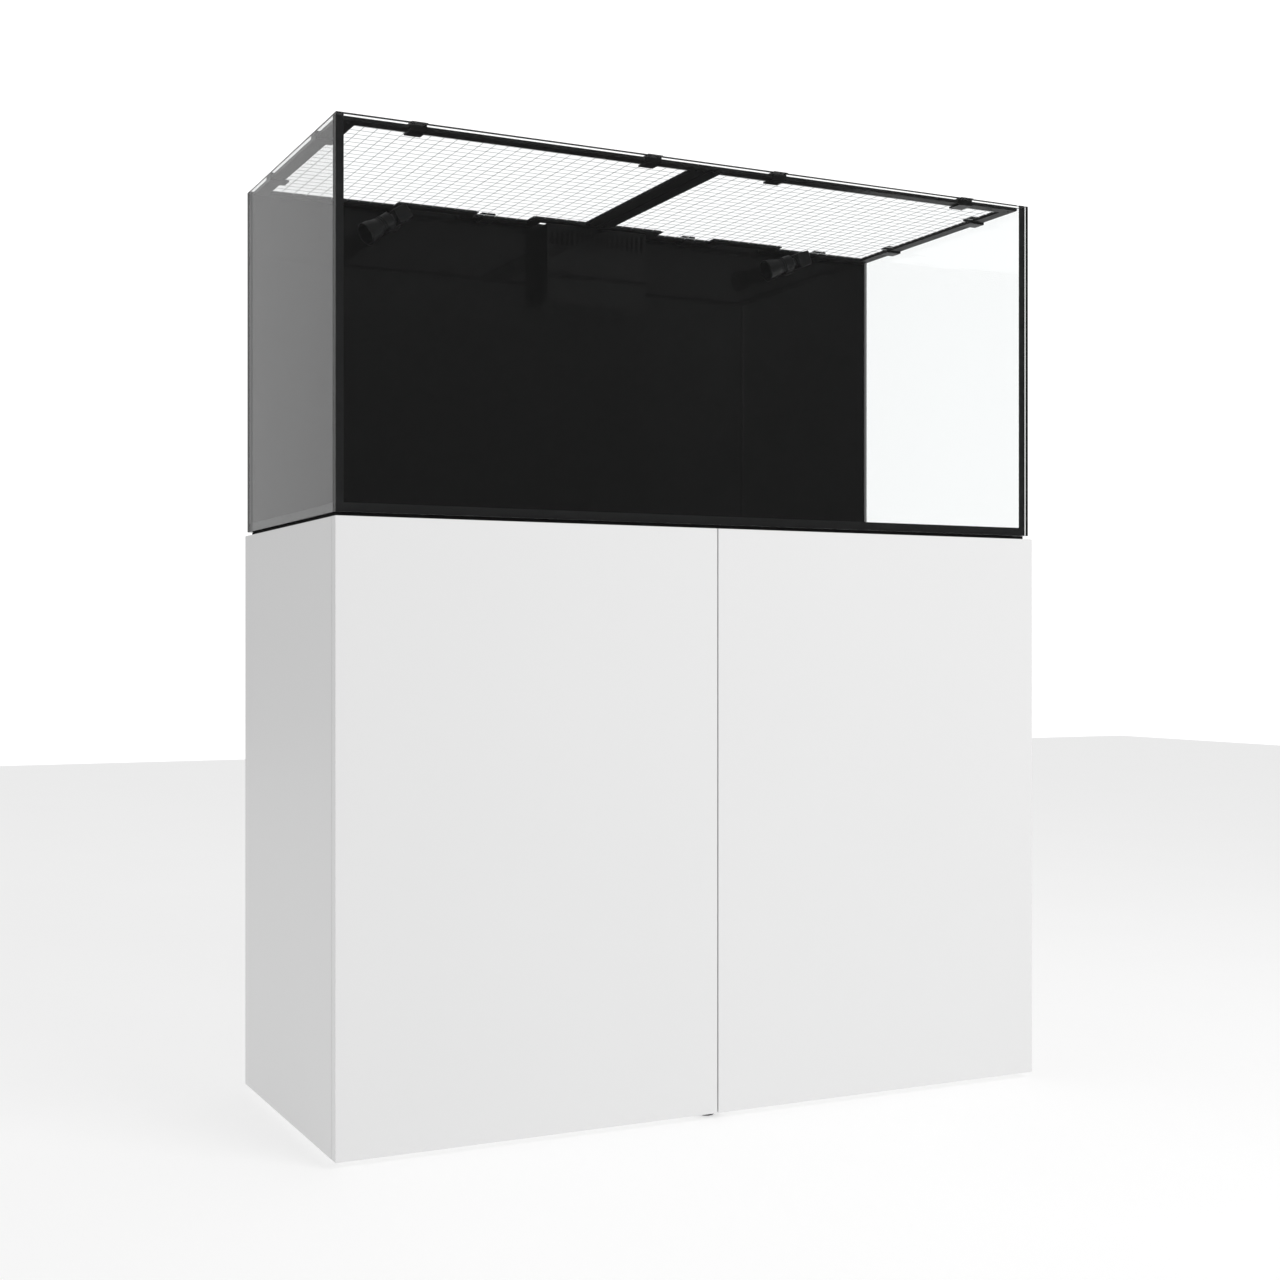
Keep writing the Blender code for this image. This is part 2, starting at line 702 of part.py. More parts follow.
def make_seams():
    """The black silicone: one run of joints and beads round the base and up the four corners."""
    film_in, film_out = SEAT, BOND - SEAT
    floor_top = PANE_BOTTOM + GLASS
    corner_front = INNER_FRONT + film_in
    corner_back = INNER_BACK - film_in
    name = "silicone_seams"
    strips = []
    for side, sign in SIDES.items():
        inner = sign * (INNER_HALF - SEAT)
        for end, corner, inward in (("front", corner_front, 1), ("back", corner_back, -1)):
            film = corner + inward * (film_out - film_in)
            outline = [
                (sign * (HALF_TANK - SEAM_INSET), corner),
                (inner - sign * BEAD, corner),
                (inner, corner + inward * BEAD),
                (inner, film),
                (sign * (HALF_TANK - SEAM_INSET), film),
            ]
            points = [(x, depth(along), PANE_BOTTOM) for x, along in outline]
            strips.append((f"{side}_{end}_upright", points, (0, 0, PANE_HEIGHT)))
        film = sign * (INNER_HALF - film_out)
        outline = [
            (inner, PANE_BOTTOM),
            (inner, floor_top + SEAT + BEAD),
            (inner - sign * BEAD, floor_top + SEAT),
            (film, floor_top + SEAT),
            (film, PANE_BOTTOM),
        ]
        points = [(x, depth(corner_front), z) for x, z in outline]
        strips.append((f"{side}_base", points, (0, corner_back - corner_front, 0)))
    reach = INNER_HALF - SEAT
    for end, corner, inward in (("front", corner_front, 1), ("back", corner_back, -1)):
        film = corner + inward * (film_out - film_in)
        outline = [
            (corner, PANE_BOTTOM),
            (corner, floor_top + SEAT + BEAD),
            (corner + inward * BEAD, floor_top + SEAT),
            (film, floor_top + SEAT),
            (film, PANE_BOTTOM),
        ]
        points = [(-reach, depth(along), z) for along, z in outline]
        strips.append((f"{end}_base", points, (2 * reach, 0, 0)))
    strips.sort(key=lambda strip: "upright" in strip[0])
    first, rest = strips[0], strips[1:]
    seams = prism(name, first[1], first[2], finish(name, (0.01, 0.01, 0.01), 0.4))
    for strip, points, direction in rest:
        join(seams, prism(f"{name}_{strip}", points, direction))


def make_mat():
    reach = HALF_TANK - MAT_INSET
    box(
        "levelling_mat",
        (-reach, depth(TANK_SETBACK + MAT_INSET), CABINET_TOP + SEAT),
        (reach, depth(TANK_BACK - MAT_INSET), CABINET_TOP + SEAT + MAT),
        finish("levelling_mat", (0.01, 0.01, 0.01), 0.9),
    )


def lid_outlines(side, sign):
    """The outer outline of one half of the lid frame and the opening that its net fills."""
    near = sign * LID_MEETING_GAP / 2
    far = sign * LID_HALF
    notch = NOTCH_CENTRES[side]
    notch_near = notch - sign * NOTCH_WIDTH / 2
    notch_far = notch + sign * NOTCH_WIDTH / 2
    weir = sign * WEIR_NOTCH_WIDTH / 2
    member = LID_MEMBER
    rear = LID_BACK - member
    outer = [
        (near, LID_FRONT),
        (near, rear - WEIR_NOTCH_REACH + member),
        (weir - sign * member, rear - WEIR_NOTCH_REACH + member),
        (weir - sign * member, LID_BACK),
        (notch_near + sign * member, LID_BACK),
        (notch_near + sign * member, rear - NOTCH_REACH + member),
        (notch_far - sign * member, rear - NOTCH_REACH + member),
        (notch_far - sign * member, LID_BACK),
        (far, LID_BACK),
        (far, LID_FRONT),
    ]
    bar = sign * (LID_MEETING_GAP / 2 + LID_CROSSBAR)

    def opening(inset):
        inward = sign * inset
        return [
            (bar + inward, LID_FRONT + member + inset),
            (bar + inward, rear - WEIR_NOTCH_REACH - inset),
            (weir + inward, rear - WEIR_NOTCH_REACH - inset),
            (weir + inward, rear - inset),
            (notch_near - inward, rear - inset),
            (notch_near - inward, rear - NOTCH_REACH - inset),
            (notch_far + inward, rear - NOTCH_REACH - inset),
            (notch_far + inward, rear - inset),
            (far - sign * member - inward, rear - inset),
            (far - sign * member - inward, LID_FRONT + member + inset),
        ]

    return outer, opening


def make_lid():
    net_bottom = (LID_BOTTOM + LID_TOP - NET_THICKNESS) / 2
    for side, sign in SIDES.items():
        outer, opening = lid_outlines(side, sign)
        name = f"{side}_lid_frame"
        frame = prism(
            name,
            [(x, depth(along), LID_BOTTOM) for x, along in outer],
            (0, 0, LID_THICKNESS),
            black_plastic(name),
        )
        hole = prism(
            f"{name}_opening",
            [(x, depth(along), LID_BOTTOM - LID_THICKNESS) for x, along in opening(0.0)],
            (0, 0, 3 * LID_THICKNESS),
        )
        cut(frame, hole)
        name = f"{side}_lid_net"
        prism(
            name,
            [(x, depth(along), net_bottom) for x, along in opening(SEAT)],
            (0, 0, NET_THICKNESS),
            finish(name, (0.8, 0.8, 0.8), 0.4, transmission=0.8),
        )


def clip_profile():
    """(outward from the frame, z) outline of a clip that grips the frame and rests on the rim."""
    ledge = LID_BOTTOM - SEAT
    leg_in, leg_out = SEAT, LID_CLEARANCE - SEAT
    plate_end = LID_CLEARANCE + GLASS - CLIP_SETBACK
    top = max(LID_TOP, RIM) + SEAT + CLIP_PLATE
    return [
        (-LID_MEMBER - CLIP_LEDGE_REACH, ledge - CLIP_LEDGE),
        (leg_out, ledge - CLIP_LEDGE),
        (leg_out, RIM + SEAT),
        (plate_end, RIM + SEAT),
        (plate_end, top),
        (-LID_MEMBER - CLIP_TOP_REACH, top),
        (-LID_MEMBER - CLIP_TOP_REACH, LID_TOP + SEAT),
        (leg_in, LID_TOP + SEAT),
        (leg_in, ledge),
        (-LID_MEMBER - CLIP_LEDGE_REACH, ledge),
    ]


def make_clip(name, edge, outward, along):
    """One clip, centred along its edge of the lid."""
    outward, along = Vector(outward), Vector(along)
    start = Vector(edge) - along * CLIP_WIDTH / 2
    points = [start + outward * reach + Vector((0, 0, z)) for reach, z in clip_profile()]
    prism(name, points, along * CLIP_WIDTH, black_plastic(name))


def make_clips():
    for side, sign in SIDES.items():
        for index, x in enumerate(FRONT_CLIPS[side], 1):
            make_clip(f"{side}_front_clip_{index}", (x, depth(LID_FRONT), 0), (0, -1, 0), (1, 0, 0))
        for index, x in enumerate(REAR_CLIPS[side], 1):
            make_clip(f"{side}_rear_clip_{index}", (x, depth(LID_BACK), 0), (0, 1, 0), (1, 0, 0))
        middle = (INNER_FRONT + INNER_BACK) / 2
        for index, offset in enumerate(SIDE_CLIPS, 1):
            edge = (sign * LID_HALF, depth(middle + offset), 0)
            make_clip(f"{side}_side_clip_{index}", edge, (sign, 0, 0), (0, 1, 0))


def sleeve_places():
    return (-SLEEVE_SPACING / 2, SLEEVE_SPACING / 2)


def sleeve_height():
    return RIM - WEIR_TOP - SLEEVE_DROP


def make_overflow():
    """The weir box inside the back pane with its comb, and the box behind the pane that it feeds."""
    half = WEIR_WIDTH / 2
    top = RIM - WEIR_TOP
    bottom = top - WEIR_HEIGHT
    front_top = top - COMB_HEIGHT
    weir = box(
        "weir_box",
        (-half, depth(WEIR_FRONT), bottom),
        (half, depth(INNER_BACK - SEAT), top),
        finish("weir_box", (0.010, 0.010, 0.011), 0.12),
    )
    inner = half - WEIR_WALL
    cavity = box(
        "weir_cavity",
        (-inner, depth(WEIR_FRONT + WEIR_WALL), bottom + WEIR_WALL),
        (inner, depth(TANK_BACK), top + WEIR_WALL),
    )
    window = box(
        "weir_window",
        (-inner, depth(WEIR_FRONT - WEIR_WALL), front_top),
        (inner, depth(TANK_BACK), top + WEIR_WALL),
    )
    cut(weir, cavity, window)

    comb = box(
        "weir_comb",
        (-inner + SEAT, depth(WEIR_FRONT), front_top + SEAT),
        (inner - SEAT, depth(WEIR_FRONT + WEIR_WALL), top),
        finish("weir_comb", (0.010, 0.010, 0.011), 0.12),
    )
    tongue = box(
        "comb_tongue",
        (-inner + SEAT, depth(WEIR_FRONT + WEIR_WALL + SEAT), front_top - COMB_TONGUE),
        (inner - SEAT, depth(WEIR_FRONT + 2 * WEIR_WALL), front_top + COMB_BRIDGE),
    )
    bridge = box(
        "comb_bridge",
        (-inner + SEAT, depth(WEIR_FRONT + WEIR_WALL / 2), front_top + SEAT),
        (inner - SEAT, depth(WEIR_FRONT + 2 * WEIR_WALL), front_top + COMB_BRIDGE),
    )
    join(comb, tongue, bridge)
    slot_bottom = top - COMB_TOP_BAND - COMB_SLOT_HEIGHT
    for index in range(COMB_SLOTS):
        x = (index - (COMB_SLOTS - 1) / 2) * COMB_SLOT_PITCH
        slot = box(
            f"comb_slot_{index + 1}",
            (x - COMB_SLOT_WIDTH / 2, depth(WEIR_FRONT - WEIR_WALL), slot_bottom),
            (x + COMB_SLOT_WIDTH / 2, depth(WEIR_FRONT + 3 * WEIR_WALL), slot_bottom + COMB_SLOT_HEIGHT),
        )
        cut(comb, slot)

    half = REAR_BOX_WIDTH / 2
    front, back = TANK_BACK + SEAT, TANK_BACK + SEAT + REAR_BOX_DEPTH
    rear = box(
        "rear_box",
        (-half, depth(front), REAR_BOX_FLOOR),
        (half, depth(back), REAR_BOX_FLOOR + REAR_BOX_HEIGHT),
        finish("rear_box", (0.012, 0.012, 0.013), 0.25),
    )
    wall = REAR_BOX_WALL
    cut(
        rear,
        box(
            "rear_cavity",
            (-half + wall, depth(front + wall), REAR_BOX_FLOOR + wall),
            (half - wall, depth(back - wall), REAR_BOX_FLOOR + REAR_BOX_HEIGHT + wall),
        ),
    )
    z = sleeve_height()
    start = INNER_BACK - SLEEVE_REACH
    for index, x in enumerate(sleeve_places()):
        outside = (x, depth(front + wall / 2), z)
        join(rear, rod(f"sleeve_{index}", (x, depth(start), z), outside, SLEEVE_RADIUS))
        inside = (x, depth(front + 2 * wall), z)
        cut(rear, rod(f"sleeve_bore_{index}", (x, depth(start - wall), z), inside, SLEEVE_BORE))
    for name, x in DRAIN_PLACES.items():
        y = depth(TANK_BACK + DRAIN_BEHIND)
        low, high = REAR_BOX_FLOOR - wall, REAR_BOX_FLOOR + 2 * wall
        cut(rear, rod(f"{name}_hole", (x, y, low), (x, y, high), DRAIN_RADIUS + SEAT, sides=24))


def make_drains():
    y_behind = depth(TANK_BACK + DRAIN_BEHIND)
    y_down = depth(DRAIN_DOWN)
    end = SUMP_BOTTOM + SUMP_HEIGHT - BAFFLE_DROP / 2
    for name, x in DRAIN_PLACES.items():
        corners = [
            (x, y_behind, REAR_BOX_FLOOR + DRAIN_STAND[name]),
            (x, y_behind, DRAIN_CROSSING),
            (x, y_down, DRAIN_CROSSING),
            (x, y_down, end),
        ]
        route = rounded_route(corners, DRAIN_BEND)
        drain = tube(name, route, DRAIN_RADIUS, finish(name, (0.03, 0.03, 0.035), 0.4), sides=16)
        if name == "main_drain":
            make_valve(drain, x, y_down)


def make_valve(drain, x, y):
    """The drain's valve body with its bonnet and stem, and the knob on it."""
    z = VALVE_HEIGHT
    half = VALVE_BODY / 2
    body = box("valve_body", (x - half, y - half, z - half), (x + half, y + half, z + half))
    ease(body, VALVE_CORNER, 2)
    bonnet_end = y - VALVE_BONNET_REACH
    stem_end = bonnet_end - VALVE_STEM_REACH
    bonnet = rod("valve_bonnet", (x, y, z), (x, bonnet_end, z), VALVE_BONNET_RADIUS)
    stem = rod("valve_stem", (x, y, z), (x, stem_end, z), VALVE_STEM_RADIUS, sides=16)
    join(drain, body, bonnet, stem)

    name = "valve_knob"
    knob_back = bonnet_end - SEAT
    steps = 8 * KNOB_LOBES
    outline = []
    for step in range(steps):
        angle = math.tau * step / steps
        radius = KNOB_RADIUS * (1 - KNOB_DIP * (0.5 - 0.5 * math.cos(KNOB_LOBES * angle)))
        outline.append((x + radius * math.cos(angle), knob_back, z + radius * math.sin(angle)))
    material = finish(name, (0.5, 0.02, 0.02), 0.4)
    knob = prism(name, outline, (0, -KNOB_THICKNESS, 0), material)
    bore_end = stem_end - SEAT
    cut(
        knob,
        rod(
            "knob_bore",
            (x, knob_back + KNOB_THICKNESS, z),
            (x, bore_end, z),
            VALVE_STEM_RADIUS + SEAT,
            sides=16,
        ),
    )
    pivot(knob, (x, knob_back, z))


def make_return_pipe():
    """The pump's riser, the level run behind the tank and the two rises to the nozzles."""
    name = "return_pipe"
    y = depth(TANK_BACK + RETURN_BEHIND)
    y_stub = depth(TANK_BACK + STUB_BEHIND + SEAT)
    run = RIM - RETURN_RUN_DROP
    left, right = NOZZLE_PLACES["left"], NOZZLE_PLACES["right"]
    corners = [
        (left, y_stub, NOZZLE_AXIS),
        (left, y, NOZZLE_AXIS),
        (left, y, run),
        (right, y, run),
        (right, y, NOZZLE_AXIS),
        (right, y_stub, NOZZLE_AXIS),
    ]
    route = rounded_route(corners, RETURN_BEND)
    pipe = tube(name, route, RETURN_RADIUS, finish(name, (0.03, 0.03, 0.035), 0.4))
    y_pump = depth(SUMP_MIDDLE)
    riser = [
        (PUMP_CENTRE, y_pump, SUMP_FLOOR + PUMP_OUTLET_TOP + SEAT),
        (PUMP_CENTRE, y_pump, RETURN_CROSSING),
        (PUMP_CENTRE, y, RETURN_CROSSING),
        (PUMP_CENTRE, y, run),
    ]
    route = rounded_route(riser, RISER_BEND)
    join(pipe, tube("return_riser", route, RISER_RADIUS))


def nozzle_direction(side):
    yaw, pitch = math.radians(NOZZLE_YAW[side]), math.radians(NOZZLE_PITCH[side])
    level = math.cos(pitch)
    return Vector((level * math.cos(yaw), level * math.sin(yaw), math.sin(pitch)))


def ball_points(radius, start, end, steps):
    """Profile points of a ball about BALL_DISTANCE, between two angles from the outlet's direction."""
    points = []
    for step in range(steps + 1):
        angle = math.radians(start + (end - start) * step / steps)
        points.append((radius * math.sin(angle), BALL_DISTANCE + radius * math.cos(angle)))
    return points


def make_nozzle(side):
    x = NOZZLE_PLACES[side]
    z = NOZZLE_AXIS
    flange_back = INNER_BACK - SEAT
    base_name = f"{side}_nozzle_base"
    length = TANK_BACK + STUB_BEHIND - ELBOW_BACK + SPIGOT_LENGTH
    to_flange = flange_back - FLANGE - ELBOW_BACK + SPIGOT_LENGTH
    profile = [
        (0.0, 0.0),
        (SPIGOT_RADIUS, 0.0),
        (SPIGOT_RADIUS, SPIGOT_LENGTH + SEAT),
        (STUB_RADIUS, SPIGOT_LENGTH + SEAT),
        (STUB_RADIUS, to_flange),
        (FLANGE_RADIUS, to_flange),
        (FLANGE_RADIUS, to_flange + FLANGE),
        (STUB_RADIUS, to_flange + FLANGE),
        (STUB_RADIUS, length),
        (0.0, length),
    ]
    start = (x, depth(ELBOW_BACK - SPIGOT_LENGTH), z)
    lathe(base_name, profile, start, (0, 1, 0), black_plastic(base_name))

    centre = Vector((x, depth(ELBOW_BACK - ELBOW_SIZE / 2), z))
    along = nozzle_direction(side)
    elbow_name = f"{side}_nozzle_elbow"
    half = ELBOW_SIZE / 2
    elbow = box(elbow_name, (-half, -half, -half), (half, half, half), black_plastic(elbow_name))
    ease(elbow, ELBOW_EDGE, 2)
    elbow.location = centre
    elbow.rotation_euler = (0, math.radians(NOZZLE_PITCH[side]), 0)
    neck_end = BALL_DISTANCE - BALL_RADIUS * math.cos(math.asin(NECK_RADIUS / BALL_RADIUS))
    sweep = 180 - math.degrees(math.asin(NECK_RADIUS / BALL_RADIUS))
    ball = [(0.0, 0.0), (NECK_RADIUS, 0.0), (NECK_RADIUS, neck_end)]
    ball += ball_points(BALL_RADIUS, sweep, 0, 8)[1:-1]
    ball.append((0.0, BALL_DISTANCE + BALL_RADIUS))
    spigot_bore = rod(
        f"{side}_spigot_bore",
        (x, depth(ELBOW_BACK - SPIGOT_LENGTH - SEAT), z),
        (x, depth(ELBOW_BACK + ELBOW_SIZE), z),
        SPIGOT_RADIUS + SEAT,
    )
    join(elbow, lathe(f"{side}_neck", ball, centre, along))
    cut(elbow, spigot_bore)

    tip_name = f"{side}_nozzle_tip"
    cavity = BALL_RADIUS + SEAT
    rim = BALL_DISTANCE - SOCKET_LEAD
    mouth_in = MOUTH_RADIUS - MOUTH_WALL
    waist = BALL_DISTANCE + BALL_RADIUS + WAIST_AHEAD
    shoulder = waist + FLARE_LENGTH
    floor = BALL_DISTANCE + cavity + SOCKET_FLOOR
    chamfer = 0.001
    inside = ball_points(cavity, 0, 180 - math.degrees(math.acos(SOCKET_LEAD / cavity)), 8)
    profile = inside + [
        (SOCKET_RADIUS - chamfer, rim),
        (SOCKET_RADIUS, rim + chamfer),
        (SOCKET_RADIUS, BALL_DISTANCE + BALL_RADIUS / 2),
        (SOCKET_RADIUS - WAIST_DEPTH, waist),
        (MOUTH_RADIUS, shoulder),
        (MOUTH_RADIUS, NOZZLE_LENGTH - chamfer),
        (MOUTH_RADIUS - chamfer, NOZZLE_LENGTH),
        (mouth_in, NOZZLE_LENGTH),
        (mouth_in, shoulder + SOCKET_FLOOR),
        (SOCKET_RADIUS - 2 * MOUTH_WALL, floor),
        (0.0, floor),
    ]
    tip = lathe(tip_name, profile, centre, along, black_plastic(tip_name))
    pivot(tip, centre + along * BALL_DISTANCE)


def make_sump():
    name = "sump_tank"
    left, right = SUMP_LEFT, SUMP_LEFT + SUMP_WIDTH
    top = SUMP_BOTTOM + SUMP_HEIGHT
    front, back = SUMP_FRONT, SUMP_FRONT + SUMP_DEPTH
    sump = box(name, (left, depth(front), SUMP_BOTTOM), (right, depth(back), top), glass(name))
    wall = SUMP_WALL
    above = box(
        "sump_above",
        (left + wall, depth(front + wall), top - BAFFLE_DROP),
        (right - wall, depth(back - wall), top + wall),
    )
    cut(sump, above)
    edge = left + wall
    rest = right - wall - PUMP_CHAMBER_LEFT
    for index, width in enumerate((*SUMP_CHAMBERS, rest), 1):
        chamber = box(
            f"sump_chamber_{index}",
            (edge, depth(front + wall), SUMP_FLOOR),
            (edge + width, depth(back - wall), top + wall),
        )
        cut(sump, chamber)
        edge += width + wall


def make_pump():
    name = "return_pump"
    x, y = PUMP_CENTRE, depth(SUMP_MIDDLE)
    base = SUMP_FLOOR + SEAT
    axis_z = base + PUMP_BASE + PUMP_RADIUS
    pump = rod(
        name,
        (x - PUMP_LENGTH / 2, y, axis_z),
        (x + PUMP_LENGTH / 2, y, axis_z),
        PUMP_RADIUS,
        finish(name, (0.02, 0.02, 0.025), 0.45),
    )
    foot_half = PUMP_LENGTH / 2 - PUMP_BASE_INSET
    foot = box(
        "pump_base",
        (x - foot_half, y - PUMP_RADIUS, base),
        (x + foot_half, y + PUMP_RADIUS, base + PUMP_BASE + PUMP_CRADLE),
    )
    outlet = rod(
        "pump_outlet",
        (x, y, axis_z),
        (x, y, SUMP_FLOOR + PUMP_OUTLET_TOP),
        PUMP_OUTLET_RADIUS,
    )
    join(pump, foot, outlet)


def main():
    clear_scene()
    make_carcass()
    make_latches()
    make_doors()
    make_feet()
    make_panes()
    make_seams()
    make_mat()
    make_lid()
    make_clips()
    make_overflow()
    make_drains()
    make_return_pipe()
    for side in SIDES:
        make_nozzle(side)
    make_sump()
    make_pump()


main()
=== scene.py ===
"""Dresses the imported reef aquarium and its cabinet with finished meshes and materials."""

import json
import math

import bmesh
import bpy
from bpy.props import FloatProperty, FloatVectorProperty, IntProperty, PointerProperty
from mathutils import Matrix, Vector


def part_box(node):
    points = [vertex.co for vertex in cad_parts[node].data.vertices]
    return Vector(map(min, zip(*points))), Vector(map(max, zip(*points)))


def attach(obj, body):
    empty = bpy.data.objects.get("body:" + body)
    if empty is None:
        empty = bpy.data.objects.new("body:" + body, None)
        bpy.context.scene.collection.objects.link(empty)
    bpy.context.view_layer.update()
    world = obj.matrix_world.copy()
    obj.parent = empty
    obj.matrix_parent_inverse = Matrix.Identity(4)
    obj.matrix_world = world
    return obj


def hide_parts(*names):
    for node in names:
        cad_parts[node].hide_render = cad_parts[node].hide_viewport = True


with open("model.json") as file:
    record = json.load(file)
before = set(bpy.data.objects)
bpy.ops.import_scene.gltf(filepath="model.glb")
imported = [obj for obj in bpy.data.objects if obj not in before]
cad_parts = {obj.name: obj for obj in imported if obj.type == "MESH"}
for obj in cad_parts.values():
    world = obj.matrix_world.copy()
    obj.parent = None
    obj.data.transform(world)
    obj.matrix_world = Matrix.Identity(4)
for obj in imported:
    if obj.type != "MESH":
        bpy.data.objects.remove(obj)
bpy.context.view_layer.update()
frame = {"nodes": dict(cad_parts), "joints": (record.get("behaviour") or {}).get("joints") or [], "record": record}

bl_info = {
    "name": "Reef aquarium on cabinet",
    "version": (1, 0, 0),
    "blender": (4, 5, 0),
    "location": "View3D > Sidebar > Aquarium",
    "description": "Builds the finished pieces of a glass aquarium on a cabinet with doors",
    "category": "Object",
}

MM = 0.001
SIDES = {"left": -1, "right": 1}
NODES = frame["nodes"]
BODIES = frame["record"]["behaviour"]["bodies"]
BODY_OF = {node: body for body, members in BODIES.items() for node in members}
SLOT_OF = {part["node"]: part["material_slot"] for part in frame["record"]["subparts"]}
BOX = {node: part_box(node) for node in NODES}
JOINT_PLACE = {joint["name"]: Vector(joint.get("pos_m", (0, 0, 0))) for joint in frame["joints"]}
TANK = "tank_and_cabinet"


def middle(node):
    low, high = BOX[node]
    return (low + high) / 2


def hex_colour(code):
    """A #rrggbb sRGB colour as a linear RGBA value."""
    parts = [int(code[place : place + 2], 16) / 255 for place in (1, 3, 5)]
    linear = [part / 12.92 if part <= 0.04045 else ((part + 0.055) / 1.055) ** 2.4 for part in parts]
    return (*linear, 1.0)


# ---------------------------------------------------------------- materials


def add_node(tree, kind, inputs=None, **settings):
    """Adds a node with its settings. An input takes a value or the socket that feeds it."""
    item = tree.nodes.new(kind)
    for name, value in settings.items():
        setattr(item, name, value)
    for name, value in (inputs or {}).items():
        if isinstance(value, bpy.types.NodeSocket):
            tree.links.new(value, item.inputs[name])
        else:
            item.inputs[name].default_value = value
    return item


def start_material(name, **inputs):
    """A material with a Principled shader, its tree and the tree's Object coordinates."""
    material = bpy.data.materials.new(name)
    material.use_nodes = True
    tree = material.node_tree
    shader = tree.nodes["Principled BSDF"]
    for label, value in inputs.items():
        shader.inputs[label.replace("_", " ")].default_value = value
    place = add_node(tree, "ShaderNodeTexCoord").outputs["Object"]
    return material, tree, shader, place


def noise(tree, place, size, detail):
    """A noise pattern of one size, in metres."""
    pattern = {"Vector": place, "Scale": 1 / size, "Detail": detail}
    return add_node(tree, "ShaderNodeTexNoise", pattern).outputs["Fac"]


def tint(tree, shader, source, first, second):
    """Base colour from the first to the second as the source goes from 0 to 1."""
    ramp = add_node(tree, "ShaderNodeValToRGB", {"Fac": source})
    for element, code in zip(ramp.color_ramp.elements, (first, second)):
        element.color = hex_colour(code)
    tree.links.new(ramp.outputs["Color"], shader.inputs["Base Color"])


def polish(tree, shader, source, low, high, start=0.0, end=1.0):
    """Roughness from low to high as the source goes from start to end."""
    span = {"Value": source, "From Min": start, "From Max": end, "To Min": low, "To Max": high}
    gloss = add_node(tree, "ShaderNodeMapRange", span)
    tree.links.new(gloss.outputs["Result"], shader.inputs["Roughness"])


def emboss(tree, shader, source, strength, depth):
    """Bump as deep as the source's full range."""
    relief = add_node(tree, "ShaderNodeBump", {"Height": source, "Strength": strength, "Distance": depth})
    tree.links.new(relief.outputs["Normal"], shader.inputs["Normal"])


def lacquered_board():
    """Satin two-pack lacquer on MDF: even off-white with the faint orange peel of a sprayed coat."""
    coat = {"Coat_Weight": 0.12, "Coat_Roughness": 0.25}
    material, tree, shader, place = start_material("satin lacquered MDF", **coat)
    shader.inputs["IOR"].default_value = 1.48
    peel = noise(tree, place, 4 * MM, 2.0)
    cloud = noise(tree, place, 350 * MM, 3.0)
    tint(tree, shader, cloud, "#e6e6e6", "#e8e8e8")
    polish(tree, shader, peel, 0.36, 0.46)
    emboss(tree, shader, peel, 0.10, 0.04 * MM)
    return material


def melamine_board():
    """White melamine-faced chipboard: a flat, fine-pebbled paper face that is duller than the doors."""
    material, tree, shader, place = start_material("white melamine board")
    pebble = add_node(
        tree,
        "ShaderNodeTexVoronoi",
        {"Vector": place, "Scale": 1 / (1.2 * MM)},
        feature="SMOOTH_F1",
    )
    cloud = noise(tree, place, 90 * MM, 4.0)
    tint(tree, shader, cloud, "#eeeeee", "#f2f2f1")
    polish(tree, shader, cloud, 0.45, 0.58)
    emboss(tree, shader, pebble.outputs["Distance"], 0.12, 0.06 * MM)
    return material


def float_glass():
    """Low-iron float glass: almost colourless, with polished edges and barely visible wipe marks."""
    material, tree, shader, place = start_material(
        "low-iron float glass", Transmission_Weight=1.0, Base_Color=hex_colour("#fdfefe")
    )
    shader.inputs["IOR"].default_value = 1.45
    stretched = add_node(tree, "ShaderNodeMapping", {"Vector": place, "Scale": (1.0, 1.0, 0.25)})
    wipe = noise(tree, stretched.outputs["Vector"], 60 * MM, 5.0)
    polish(tree, shader, wipe, 0.0, 0.004, 0.5, 0.9)
    return material


def painted_glass():
    """Rear pane sprayed black on its outside: a deep, smooth black with a weak mirror of the lid."""
    material, tree, shader, place = start_material("black painted float glass")
    shader.inputs["IOR"].default_value = 1.30
    wipe = noise(tree, place, 180 * MM, 4.0)
    tint(tree, shader, wipe, "#101010", "#121212")
    polish(tree, shader, wipe, 0.01, 0.03)
    return material


def cured_silicone():
    """Black acetoxy silicone, drawn with a wetted finger: soft gloss with small pulls along the bead."""
    material, tree, shader, place = start_material("black cured silicone", Base_Color=hex_colour("#2a2a2b"))
    shader.inputs["IOR"].default_value = 1.3
    pulls = noise(tree, place, 7 * MM, 3.0)
    polish(tree, shader, pulls, 0.25, 0.45)
    emboss(tree, shader, pulls, 0.25, 0.2 * MM)
    return material


def cell_foam():
    """Black closed-cell PE foam: cut edges show open cells about a millimetre across, each with painted shade
    darkening it towards its hollow.
    """
    material, tree, shader, place = start_material("black polyethylene foam", Roughness=0.9)
    shader.inputs["IOR"].default_value = 1.3
    cells = add_node(tree, "ShaderNodeTexVoronoi", {"Vector": place, "Scale": 1 / (1.1 * MM)})
    # Painted shade: the colour darkens towards the bottom of each cell's hollow, following the bump's pits.
    tint(tree, shader, cells.outputs["Distance"], "#0b0b0b", "#1d1d1d")
    emboss(tree, shader, cells.outputs["Distance"], 0.6, 0.4 * MM)
    return material


def powder_coat():
    """Fine-texture black polyester powder on aluminium bar: an even, slightly pebbled satin black."""
    material, tree, shader, place = start_material("black powder-coated aluminium")
    shader.inputs["IOR"].default_value = 1.4
    # The powder's own grain is about 0.2 mm; it is drawn at 0.6 mm so that it shows.
    grain = noise(tree, place, 0.6 * MM, 2.0)
    tint(tree, shader, grain, "#161616", "#222222")
    polish(tree, shader, grain, 0.38, 0.55)
    emboss(tree, shader, grain, 0.2, 0.08 * MM)
    return material


